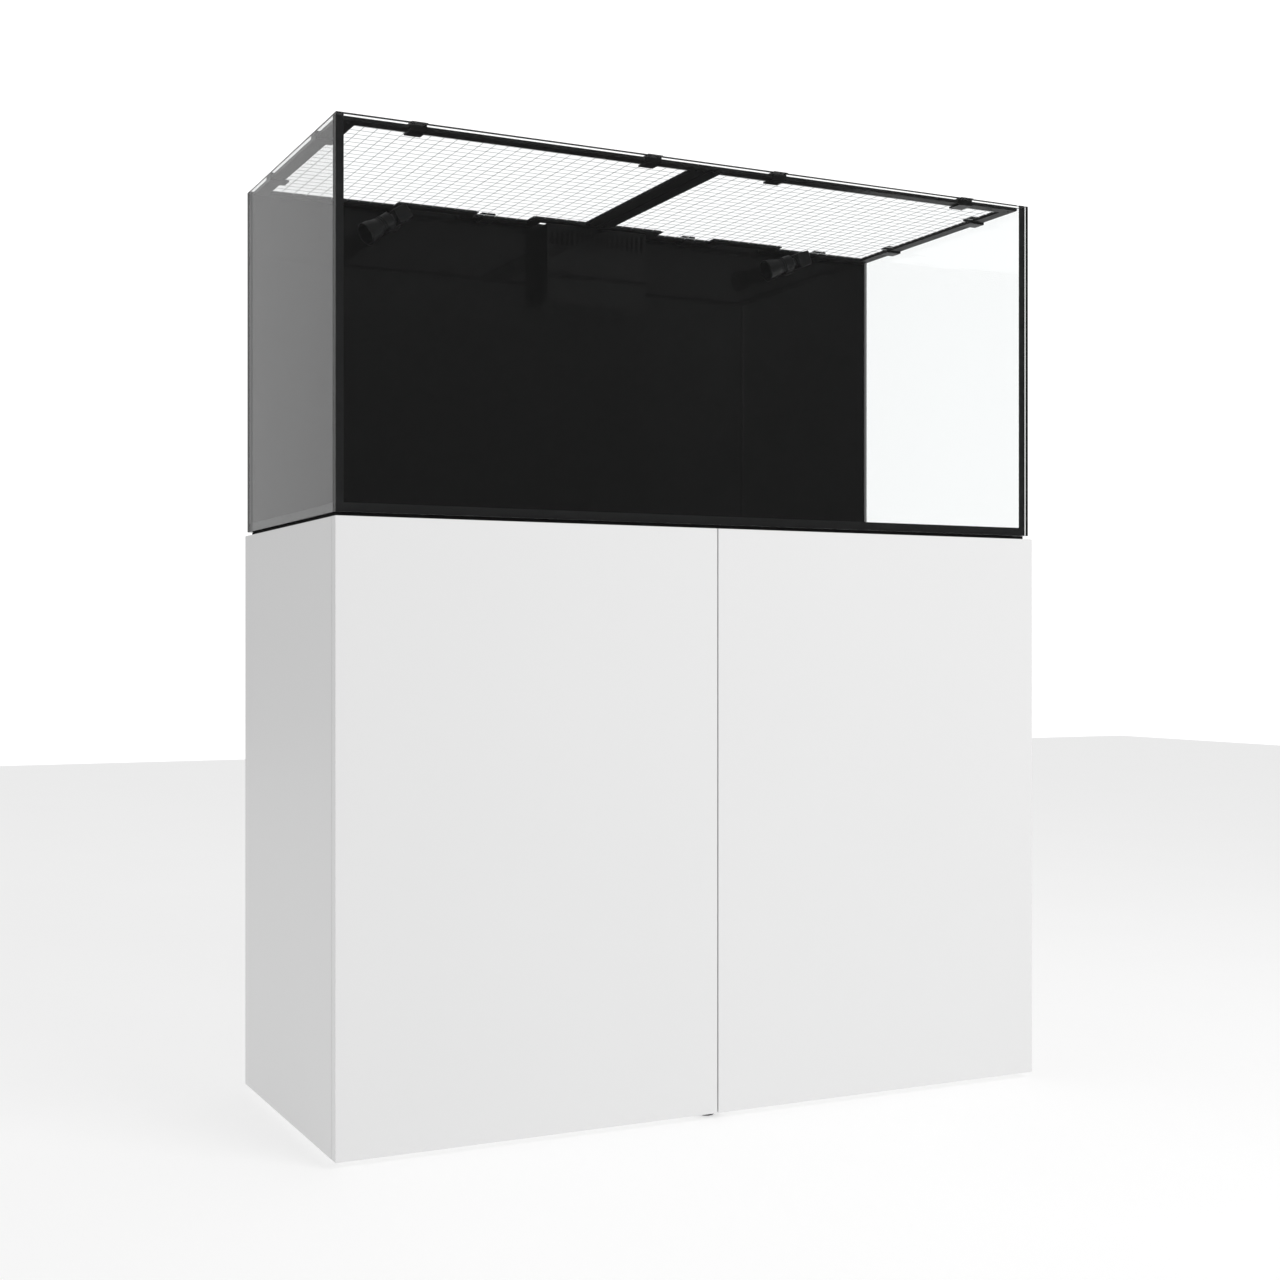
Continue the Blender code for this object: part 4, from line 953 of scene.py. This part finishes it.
class AQUARIUM_OT_lid(bpy.types.Operator):
    """Lid frames in coated bar, the mesh with the cord that holds it, and the crossbar's screws"""

    bl_idname = "aquarium.lid"
    bl_label = "Lid"

    def execute(self, context):
        settings = context.scene.aquarium_tank
        cord_radius = 1.3 * MM
        screw_radius, screw_height = 2.4 * MM, 1.1 * MM
        near_row, far_row, rear_row = 6 * MM, 15 * MM, 34 * MM
        bar_middle = 10.5 * MM
        for side, sign in SIDES.items():
            frame_node, net_node = f"{side}_lid_frame", f"{side}_lid_net"
            body = BODY_OF[frame_node]
            dress_node(frame_node, f"lid_bars_{side}", "powder coat", 0.6 * MM)
            outline = underside_outline(net_node)
            level = middle(net_node).z
            rim = [Vector((point.x, point.y, level)) for point in outline]
            edges = self.strands(rim, settings.mesh_pitch)
            mesh = bpy.data.meshes.new("strands")
            points = [point for edge in edges for point in edge]
            mesh.from_pydata(points, [(2 * index, 2 * index + 1) for index in range(len(edges))], [])
            net = new_piece(f"lid_mesh_{side}", mesh, "mesh")
            grow(net, strand_tree("mesh"), strand_radius=settings.strand_radius)
            settle(net, body, SLOT_OF[net_node], net_node)
            cord_mesh = pipe_mesh(self.inset(rim, cord_radius), cord_radius, 10, closed=True)
            cord = new_piece(f"mesh_cord_{side}", cord_mesh, "silicone")
            settle(cord, body, SLOT_OF[frame_node])
            low, high = BOX[frame_node]
            under = low.z + 0.1 * MM
            near = BOX[net_node][0].x if sign > 0 else BOX[net_node][1].x
            places = []
            for x in (0.32 * near, 0.78 * near):
                for y in (low.y + near_row, low.y + far_row, BOX[net_node][1].y - rear_row):
                    places.append(((x, y, under), (0, 0, -1)))
            far = high.x if sign > 0 else low.x
            corner = far - sign * bar_middle
            for x, y in ((corner, low.y + bar_middle), (corner, high.y - bar_middle)):
                places.append(((x, y, under), (0, 0, -1)))
            screw = screw_part(screw_radius, screw_height)
            fit_copies(f"lid_screws_{side}", places, screw, "abs", body, SLOT_OF[frame_node])
        return {"FINISHED"}

    def strands(self, rim, pitch):
        """Straight strands at the pitch, both ways, each ending on the rim."""
        level = rim[0].z
        result = []
        for across, along in ((0, 1), (1, 0)):
            low = min(point[across] for point in rim)
            high = max(point[across] for point in rim)
            count = int((high - low) // pitch)
            start = (low + high - (count - 1) * pitch) / 2
            for index in range(count):
                place = start + index * pitch
                ends = []
                for first, second in zip(rim, rim[1:] + rim[:1]):
                    a, b = first[across] - place, second[across] - place
                    if (a < 0) != (b < 0):
                        ends.append(first[along] + (second[along] - first[along]) * a / (a - b))
                ends.sort()
                for near, far in zip(ends[::2], ends[1::2]):
                    if across == 0:
                        result.append(((place, near, level), (place, far, level)))
                    else:
                        result.append(((near, place, level), (far, place, level)))
        return result

    def inset(self, rim, distance):
        """The rim moved inwards by a distance, with its corners kept."""
        area = sum(a.x * b.y - b.x * a.y for a, b in zip(rim, rim[1:] + rim[:1]))
        turn = 1 if area > 0 else -1
        result = []
        for before, corner, after in zip(rim[-1:] + rim[:-1], rim, rim[1:] + rim[:1]):
            incoming = (corner - before).normalized()
            outgoing = (after - corner).normalized()
            inward = Vector((-incoming.y, incoming.x, 0)) + Vector((-outgoing.y, outgoing.x, 0))
            result.append(corner + turn * distance * inward)
        return result


class AQUARIUM_OT_clips(bpy.types.Operator):
    """Moulded clips that hang the lid on the tank's rim"""

    bl_idname = "aquarium.clips"
    bl_label = "Clips"

    def execute(self, context):
        for node in sorted(name for name in NODES if "_clip_" in name):
            dress_node(node, f"lid_{node}", "abs", 0.45 * MM)
        return {"FINISHED"}


class AQUARIUM_OT_overflow(bpy.types.Operator):
    """The weir box and comb, and the box behind the rear pane"""

    bl_idname = "aquarium.overflow"
    bl_label = "Overflow"

    def execute(self, context):
        dress_node("weir_box", "overflow_weir", "acrylic", 0.4 * MM)
        dress_node("weir_comb", "overflow_comb", "acrylic", 0.25 * MM, 1)
        dress_node("rear_box", "overflow_rear_box", "acrylic", 0.4 * MM, 1)
        return {"FINISHED"}


class AQUARIUM_OT_drains(bpy.types.Operator):
    """Drain pipes with their sockets, bulkhead nuts, the valve and its knob"""

    bl_idname = "aquarium.drains"
    bl_label = "Drains"

    def execute(self, context):
        bend, crossing = 34 * MM, 0.740
        wall, socket_wall, socket_long = 2.4 * MM, 3 * MM, 26 * MM
        nut_height, nut_radius = 12 * MM, 27 * MM
        box_floor = BOX["rear_box"][0].z
        for node in ("main_drain", "emergency_drain"):
            low, high = BOX[node]
            x = JOINT_PLACE["drain_valve_turn"].x if node == "main_drain" else middle(node).x
            radius = (BOX["emergency_drain"][1].x - BOX["emergency_drain"][0].x) / 2
            behind = high.y - radius
            down = BOX["emergency_drain"][0].y + radius
            corners = [(x, behind, high.z), (x, behind, crossing), (x, down, crossing), (x, down, low.z)]
            route = rounded_route(corners, bend)
            shapes = [pipe_mesh(route, radius, 32, wall)]
            for place, direction in (
                ((x, behind, crossing + bend), (0, 0, 1)),
                ((x, behind - bend, crossing), (0, -1, 0)),
                ((x, down + bend, crossing), (0, 1, 0)),
                ((x, down, crossing - bend), (0, 0, -1)),
            ):
                shapes.append(self.socket(place, direction, radius, socket_wall, socket_long))
            shapes.append(pipe_mesh(rounded_route(corners, bend)[1:-1], radius + 0.7 * socket_wall, 32))
            nut = [
                (radius + 0.2 * MM, 0),
                (nut_radius, 0),
                (nut_radius, nut_height),
                (radius + 0.2 * MM, nut_height),
            ]
            place = (x, behind, box_floor - nut_height - 0.3 * MM)
            nut_profile = rounded_profile(nut, 1.5 * MM)
            shapes.append(turned_mesh(nut_profile, place, (0, 0, 1), 48, 12, 0.08))
            if node == "main_drain":
                shapes += self.valve(x, down, radius)
            piece = joined_piece(f"{node}_pipe", shapes, "pvc")
            settle(piece, TANK, SLOT_OF[node], node)
        self.knob()
        return {"FINISHED"}

    def socket(self, place, direction, radius, wall, length):
        """The swollen end of a bend that a pipe is glued into."""
        inner = radius + 0.05 * MM
        profile = [(inner, -4 * MM), (radius + wall, -4 * MM), (radius + wall, length), (inner, length)]
        return turned_mesh(rounded_profile(profile, 1.0 * MM), place, direction, 32)

    def valve(self, x, y, radius):
        """A ball valve body with union nuts above and below, its bonnet and stem."""
        place = JOINT_PLACE["drain_valve_turn"]
        centre = Vector((x, y, place.z))
        reach, nut_long, nut_radius = 21 * MM, 15 * MM, 23 * MM
        end, belly, belly_half = 20 * MM, 24 * MM, 8 * MM
        body_profile = [
            (0, -reach),
            (end, -reach),
            (belly, -belly_half),
            (belly, belly_half),
            (end, reach),
            (0, reach),
        ]
        shapes = [turned_mesh(rounded_profile(body_profile, 3 * MM), centre, (0, 0, 1), 48)]
        for sign in (-1, 1):
            nut_end = nut_long + 3 * MM
            nut = [(0, 0), (nut_radius, 0), (nut_radius, nut_long), (radius + 2 * MM, nut_end), (0, nut_end)]
            start = centre + Vector((0, 0, sign * (reach - 3 * MM)))
            shapes.append(turned_mesh(rounded_profile(nut, 1.2 * MM), start, (0, 0, sign), 96, 16, 0.05))
        bonnet_long = y - place.y
        bonnet_radius = 14 * MM
        bonnet_face, stem_end = bonnet_long - 0.1 * MM, bonnet_long + 13.5 * MM
        bonnet = [
            (0, 0),
            (bonnet_radius, 0),
            (bonnet_radius, bonnet_long - 4 * MM),
            (11 * MM, bonnet_face),
            (4 * MM, bonnet_face),
            (3.8 * MM, stem_end),
            (0, stem_end),
        ]
        shapes.append(turned_mesh(rounded_profile(bonnet, 0.8 * MM), centre, (0, -1, 0), 40))
        return shapes

    def knob(self):
        """A six-lobed knob with a dished face."""
        node = "valve_knob"
        low, high = BOX[node]
        radius = (high.x - low.x) / 2
        thickness = high.y - low.y
        bore, deep = 4.2 * MM, thickness - 1.6 * MM
        profile = [
            (bore, 0),
            (0.82 * radius, 0),
            (radius, 2 * MM),
            (radius, thickness - 3 * MM),
            (0.85 * radius, thickness),
            (0.55 * radius, thickness),
            (0.5 * radius, thickness - 1.2 * MM),
            (0, thickness - 1.2 * MM),
            (0, deep - 1 * MM),
            (bore, deep - 1 * MM),
        ]
        place = JOINT_PLACE["drain_valve_turn"] + Vector((0, -0.3 * MM, 0))
        mesh = turned_mesh(profile, place, (0, -1, 0), 96, lobes=6, dip=0.12)
        piece = new_piece("valve_hand_knob", mesh, "red nylon")
        settle(piece, BODY_OF[node], SLOT_OF[node], node)


class AQUARIUM_OT_return_line(bpy.types.Operator):
    """The return pipe from the pump to both nozzles, with its sockets"""

    bl_idname = "aquarium.return_line"
    bl_label = "Return line"

    def execute(self, context):
        low, high = BOX["return_pipe"]
        radius, bend, riser_bend = 12.5 * MM, 14.5 * MM, 20 * MM
        behind = high.y - radius
        axis = high.z - radius
        stub = BOX["left_nozzle_base"][1].y + 0.3 * MM
        left, right = (middle(f"{side}_nozzle_base").x for side in SIDES)
        nozzle_drop, run_drop = 25.3 * MM, 0.2034  # of the nozzles' axis and the cross run below the rim
        run, crossing = axis + nozzle_drop - run_drop, 0.770
        tee_half, union_drop = 12 * MM, 34 * MM
        pump = middle("return_pump")
        cross_y, pump_x = pump.y, pump.x
        arms = [
            (left, stub, axis),
            (left, behind, axis),
            (left, behind, run),
            (right, behind, run),
            (right, behind, axis),
            (right, stub, axis),
        ]
        riser = [
            (pump_x, cross_y, low.z),
            (pump_x, cross_y, crossing),
            (pump_x, behind, crossing),
            (pump_x, behind, run),
        ]
        routes = (rounded_route(arms, bend), rounded_route(riser, riser_bend))
        shapes = [pipe_mesh(route, radius, 28) for route in routes]
        socket_radius, socket_long = radius + 2.4 * MM, 20 * MM
        socket = [(radius, 0), (socket_radius, 0), (socket_radius, socket_long), (radius, socket_long)]
        socket = rounded_profile(socket, 0.9 * MM)
        for place, direction in (
            ((left, behind, axis - bend), (0, 0, -1)),
            ((right, behind, axis - bend), (0, 0, -1)),
            ((left, behind, run + bend), (0, 0, 1)),
            ((right, behind, run + bend), (0, 0, 1)),
            ((left + bend, behind, run), (1, 0, 0)),
            ((right - bend, behind, run), (-1, 0, 0)),
            ((pump_x, behind, crossing + riser_bend), (0, 0, 1)),
            ((pump_x, cross_y, crossing - riser_bend), (0, 0, -1)),
            ((pump_x, cross_y + riser_bend, crossing), (0, 1, 0)),
            ((pump_x, behind, run - union_drop), (0, 0, 1)),
        ):
            shapes.append(turned_mesh(socket, place, direction, 32))
        for sign in (-1, 1):
            place = (pump_x + sign * tee_half, behind, run)
            if pump_x + sign * union_drop < right:
                shapes.append(turned_mesh(socket, place, (sign, 0, 0), 32))
        piece = joined_piece("return_line", shapes, "pvc")
        settle(piece, TANK, SLOT_OF["return_pipe"], "return_pipe")
        return {"FINISHED"}


class AQUARIUM_OT_nozzles(bpy.types.Operator):
    """Return nozzles: bulkhead, turning elbow and a ball-jointed outlet with grip rings"""

    bl_idname = "aquarium.nozzles"
    bl_label = "Nozzles"

    def execute(self, context):
        settings = context.scene.aquarium_nozzles
        for side in SIDES:
            self.bulkhead(side)
            centre = JOINT_PLACE[f"{side}_nozzle_swivel"]
            ball = JOINT_PLACE[f"{side}_nozzle_tilt"]
            along = (ball - centre).normalized()
            self.elbow(side, centre, ball, along)
            self.outlet(side, ball, along, settings)
        return {"FINISHED"}

    def bulkhead(self, side):
        node = f"{side}_nozzle_base"
        low, high = BOX[node]
        flange_radius = (high.z - low.z) / 2
        length = high.y - low.y
        pane_front = BOX["back_pane"][0].y - 0.3 * MM - low.y
        flange, spigot, stub = 5 * MM, 8 * MM, 13 * MM
        profile = [
            (0, 0),
            (spigot, 0),
            (spigot, 10.3 * MM),
            (stub, 10.3 * MM),
            (stub, pane_front - flange),
            (flange_radius, pane_front - flange),
            (flange_radius, pane_front),
            (stub, pane_front),
            (stub, length),
            (0, length),
        ]
        place = (middle(node).x, low.y, middle(node).z)
        shapes = [turned_mesh(rounded_profile(profile, 0.8 * MM), place, (0, 1, 0), 48)]
        nut_start = pane_front - flange - 7 * MM
        nut = [(stub, 0), (0.97 * flange_radius, 0), (0.97 * flange_radius, 6.8 * MM), (stub, 6.8 * MM)]
        nut_place = (place[0], low.y + nut_start, place[2])
        shapes.append(turned_mesh(rounded_profile(nut, 0.7 * MM), nut_place, (0, 1, 0), 96, 12, 0.06))
        piece = joined_piece(f"nozzle_bulkhead_{side}", shapes, "abs")
        settle(piece, BODY_OF[node], SLOT_OF[node], node)

    def elbow(self, side, centre, ball, along):
        node = f"{side}_nozzle_elbow"
        half, spigot = 13 * MM, 8.3 * MM
        mesh = slab_mesh((-half,) * 3, (half,) * 3)
        pitch = math.atan2(-along.z, -along.x)
        mesh.transform(Matrix.Translation(centre) @ Matrix.Rotation(-pitch, 4, "Y"))
        block = new_piece(f"nozzle_elbow_{side}", mesh, "abs")
        bore = turned_mesh(
            [(0, 0), (spigot, 0), (spigot, 40 * MM), (0, 40 * MM)],
            (centre.x, centre.y + half - 10.3 * MM, centre.z),
            (0, 1, 0),
            32,
        )
        carve(block, bore)
        ease_edges(block, 2.2 * MM, 3)
        distance = (ball - centre).length
        neck, ball_radius = 7 * MM, 12 * MM
        lean = math.asin(neck / ball_radius)
        profile = [(0, 0), (neck + 2 * MM, 0), (neck + 2 * MM, half + 1.5 * MM), (neck, half + 3 * MM)]
        for step in range(13):
            angle = (math.pi - lean) * (1 - step / 12)
            across = max(0.0, ball_radius * math.sin(angle))
            profile.append((across, distance + ball_radius * math.cos(angle)))
        arm = turned_mesh(profile, centre, along, 40)
        piece = joined_piece(f"nozzle_elbow_arm_{side}", [arm], "abs")
        settle(block, BODY_OF[node], SLOT_OF[node], node)
        settle(piece, BODY_OF[node], SLOT_OF[node])

    def outlet(self, side, ball, along, settings):
        """The socket, its flared mouth and the rings round its shoulder, measured from the ball's centre."""
        node = f"{side}_nozzle_tip"
        cavity, socket, mouth, wall = 12.3 * MM, 15 * MM, 19 * MM, 2.5 * MM
        lead, length = -7 * MM, 48 * MM
        first = math.acos(lead / cavity)
        profile = []
        for step in range(11):
            angle = first * step / 10
            profile.append((cavity * math.sin(angle), cavity * math.cos(angle)))
        profile += [
            (socket - 1 * MM, lead),
            (socket, lead + 1 * MM),
            (socket, 4 * MM),
            (socket - 1.4 * MM, 8 * MM),
            (socket - 0.6 * MM, 18 * MM),
            (socket + 1 * MM, 26 * MM),
            (mouth - 0.5 * MM, 36 * MM),
            (mouth, length - 1 * MM),
            (mouth - 1 * MM, length),
            (mouth - wall, length - 0.3 * MM),
            (mouth - wall - 0.6 * MM, length - 3 * MM),
            (mouth - wall - 1 * MM, 36 * MM),
            (socket - 2.4 * wall / 2, 22 * MM),
            (socket - 2 * wall, 16 * MM),
            (0, 15.5 * MM),
        ]
        mesh = turned_mesh(profile, ball, along, 56)
        body = new_piece(f"nozzle_outlet_{side}", mesh, "abs")
        settle(body, BODY_OF[node], SLOT_OF[node], node)
        start, pitch = 10 * MM, 4.6 * MM
        places = [(ball + along * (start + index * pitch), along) for index in range(settings.rings)]
        rings = new_piece(f"nozzle_rings_{side}", points_mesh(places), "abs")
        grow(rings, bead_tree("abs"), ring_radius=socket - 0.7 * MM, bead_radius=1.4 * settings.ring_bead)
        settle(rings, BODY_OF[node], SLOT_OF[node])
        lip_place = [(ball + along * (length - 2 * MM), along)]
        lip = new_piece(f"nozzle_lip_{side}", points_mesh(lip_place), "abs")
        grow(lip, bead_tree("abs"), ring_radius=mouth - 0.7 * MM, bead_radius=settings.ring_bead)
        settle(lip, BODY_OF[node], SLOT_OF[node])


class AQUARIUM_OT_sump(bpy.types.Operator):
    """The clear sump with its baffles, and the return pump in its last chamber"""

    bl_idname = "aquarium.sump"
    bl_label = "Sump"

    def execute(self, context):
        dress_node("sump_tank", "sump_box", "clear acrylic", 0.5 * MM, 1)
        self.pump()
        return {"FINISHED"}

    def pump(self):
        node = "return_pump"
        low, high = BOX[node]
        centre = middle(node)
        length, radius = high.x - low.x, (high.y - low.y) / 2
        base = 8 * MM
        axis_z = low.z + base + radius
        collar, waist = 0.92 * radius, 0.84 * radius
        profile = [
            (0, 0),
            (0.55 * radius, 0),
            (0.8 * radius, 4 * MM),
            (collar, 12 * MM),
            (collar, 22 * MM),
            (radius, 24 * MM),
            (radius, 34 * MM),
            (waist, 36 * MM),
            (waist, length - 12 * MM),
            (0.7 * waist, length - 1 * MM),
            (0, length),
        ]
        start = (low.x, centre.y, axis_z)
        body = turned_mesh(rounded_profile(profile, 2 * MM), start, (1, 0, 0), 64)
        outlet_radius, rise = 14.5 * MM, high.z - axis_z
        outlet = [
            (0, 0),
            (outlet_radius, 0),
            (outlet_radius, rise - 16 * MM),
            (outlet_radius - 1.5 * MM, rise - 14 * MM),
            (outlet_radius - 1.5 * MM, rise),
            (0, rise),
        ]
        spout = turned_mesh(rounded_profile(outlet, 0.8 * MM), (centre.x, centre.y, axis_z), (0, 0, 1), 40)
        foot_half = length / 2 - 8 * MM
        foot = slab_mesh(
            (centre.x - foot_half, low.y + 2 * MM, low.z),
            (centre.x + foot_half, high.y - 2 * MM, low.z + base + 4 * MM),
        )
        piece = joined_piece("pump_housing", [body, spout], "grey plastic")
        settle(piece, BODY_OF[node], SLOT_OF[node], node)
        base_piece = new_piece("pump_base", foot, "abs")
        ease_edges(base_piece, 2.5 * MM, 3)
        settle(base_piece, BODY_OF[node], SLOT_OF[node])
        first_rib, rib_pitch, rib_count = 42 * MM, 6 * MM, 7
        places = [
            ((low.x + first_rib + index * rib_pitch, centre.y, axis_z), (1, 0, 0))
            for index in range(rib_count)
        ]
        ribs = new_piece("pump_ribs", points_mesh(places), "grey plastic")
        grow(ribs, bead_tree("grey plastic"), ring_radius=waist + 0.2 * MM, bead_radius=1.3 * MM)
        settle(ribs, BODY_OF[node], SLOT_OF[node])


class AQUARIUM_OT_stage(bpy.types.Operator):
    """Floor, soft light and camera"""

    bl_idname = "aquarium.stage"
    bl_label = "Stage"

    def execute(self, context):
        settings = context.scene.aquarium_stage
        scene = context.scene
        scene.view_settings.view_transform = "Standard"
        half, drop = 9.0, 0.5 * MM
        form = bmesh.new()
        corners = [(-half, -half, -drop), (half, -half, -drop), (half, half, -drop), (-half, half, -drop)]
        form.faces.new([form.verts.new(corner) for corner in corners])
        mesh = bpy.data.meshes.new("studio_floor")
        form.to_mesh(mesh)
        form.free()
        new_piece("studio_floor", mesh, "paper")
        self.surroundings(scene)
        self.soft_light("front_softbox", (1.2, -3.4, 2.6), target=(0.1, 0.0, 0.6), size=2.6, power=60)
        self.soft_light("top_softbox", (0.0, 0.2, 3.6), target=(0.0, 0.0, 0.7), size=2.4, power=14)
        camera = bpy.data.objects.new("camera", bpy.data.cameras.new("camera"))
        camera.data.lens = settings.focal_length
        camera.data.sensor_width = 36
        camera.data.shift_y = settings.rise
        camera.location = settings.camera_place
        camera.rotation_euler = (math.pi / 2, 0, -settings.camera_turn)
        scene.collection.objects.link(camera)
        scene.camera = camera
        return {"FINISHED"}

    def surroundings(self, scene):
        """White for the eye and for soft light. Gloss sees pale behind the tank and dark before it."""
        world = bpy.data.worlds.new("studio")
        world.use_nodes = True
        scene.world = world
        tree = world.node_tree
        tree.nodes.clear()
        place = add_node(tree, "ShaderNodeTexCoord").outputs["Generated"]
        split = add_node(tree, "ShaderNodeSeparateXYZ", {"Vector": place})
        rays = add_node(tree, "ShaderNodeLightPath")
        # A reflection inside the tank sees a brighter room in front than the front pane's own reflection.
        inside = add_node(
            tree,
            "ShaderNodeMapRange",
            {"Value": rays.outputs["Transmission Depth"], "To Min": 0.05, "To Max": 0.17},
        )
        behind = add_node(
            tree,
            "ShaderNodeMapRange",
            {
                "Value": split.outputs["Y"],
                "From Min": -0.25,
                "From Max": 0.85,
                "To Min": inside.outputs["Result"],
                "To Max": 0.52,
            },
            interpolation_type="SMOOTHSTEP",
        )
        seen = add_node(tree, "ShaderNodeBackground", {"Strength": 1.18})
        soft = add_node(tree, "ShaderNodeBackground", {"Strength": 0.55})
        mirror = add_node(tree, "ShaderNodeBackground", {"Strength": behind.outputs["Result"]})
        for item in (seen, soft, mirror):
            item.inputs["Color"].default_value = hex_colour("#ffffff")
        glossy = add_node(
            tree,
            "ShaderNodeMixShader",
            {"Fac": rays.outputs["Glossy Depth"], 1: seen.outputs[0], 2: mirror.outputs[0]},
        )
        lit = add_node(
            tree,
            "ShaderNodeMixShader",
            {"Fac": rays.outputs["Diffuse Depth"], 1: glossy.outputs[0], 2: soft.outputs[0]},
        )
        add_node(tree, "ShaderNodeOutputWorld", {"Surface": lit.outputs[0]})
        # The light a surface gathers has to come along its own ray for the split above to hold.
        world.cycles.sampling_method = "NONE"

    def soft_light(self, name, place, target, size, power):
        light = bpy.data.lights.new(name, "AREA")
        light.shape = "DISK"
        light.size = size
        light.energy = power
        lamp = bpy.data.objects.new(name, light)
        lamp.location = place
        aim = Vector(target) - Vector(place)
        lamp.rotation_euler = aim.to_track_quat("-Z", "Y").to_euler()
        lamp.visible_camera = False
        lamp.visible_glossy = False
        lamp.visible_transmission = False
        bpy.context.scene.collection.objects.link(lamp)


OPERATORS = (
    AQUARIUM_OT_stage,
    AQUARIUM_OT_carcass,
    AQUARIUM_OT_doors,
    AQUARIUM_OT_hinges,
    AQUARIUM_OT_latches,
    AQUARIUM_OT_feet,
    AQUARIUM_OT_panes,
    AQUARIUM_OT_lid,
    AQUARIUM_OT_clips,
    AQUARIUM_OT_overflow,
    AQUARIUM_OT_drains,
    AQUARIUM_OT_return_line,
    AQUARIUM_OT_nozzles,
    AQUARIUM_OT_sump,
)


class AQUARIUM_PT_panel(bpy.types.Panel):
    """Lists the pieces of the aquarium and their sizes"""

    bl_idname = "AQUARIUM_PT_panel"
    bl_label = "Reef aquarium"
    bl_space_type = "VIEW_3D"
    bl_region_type = "UI"
    bl_category = "Aquarium"

    def draw(self, context):
        for name, group in SETTINGS.items():
            settings = getattr(context.scene, name)
            for label in group.__annotations__:
                self.layout.prop(settings, label)
        for operator in OPERATORS:
            self.layout.operator(operator.bl_idname)


CLASSES = (*SETTINGS.values(), *OPERATORS, AQUARIUM_PT_panel)


def register():
    for item in CLASSES:
        bpy.utils.register_class(item)
    for name, group in SETTINGS.items():
        setattr(bpy.types.Scene, name, PointerProperty(type=group))


def unregister():
    for name in SETTINGS:
        delattr(bpy.types.Scene, name)
    for item in reversed(CLASSES):
        bpy.utils.unregister_class(item)


def main():
    register()
    for operator in OPERATORS:
        group, name = operator.bl_idname.split(".")
        getattr(getattr(bpy.ops, group), name)()


if __name__ == "__main__":
    main()
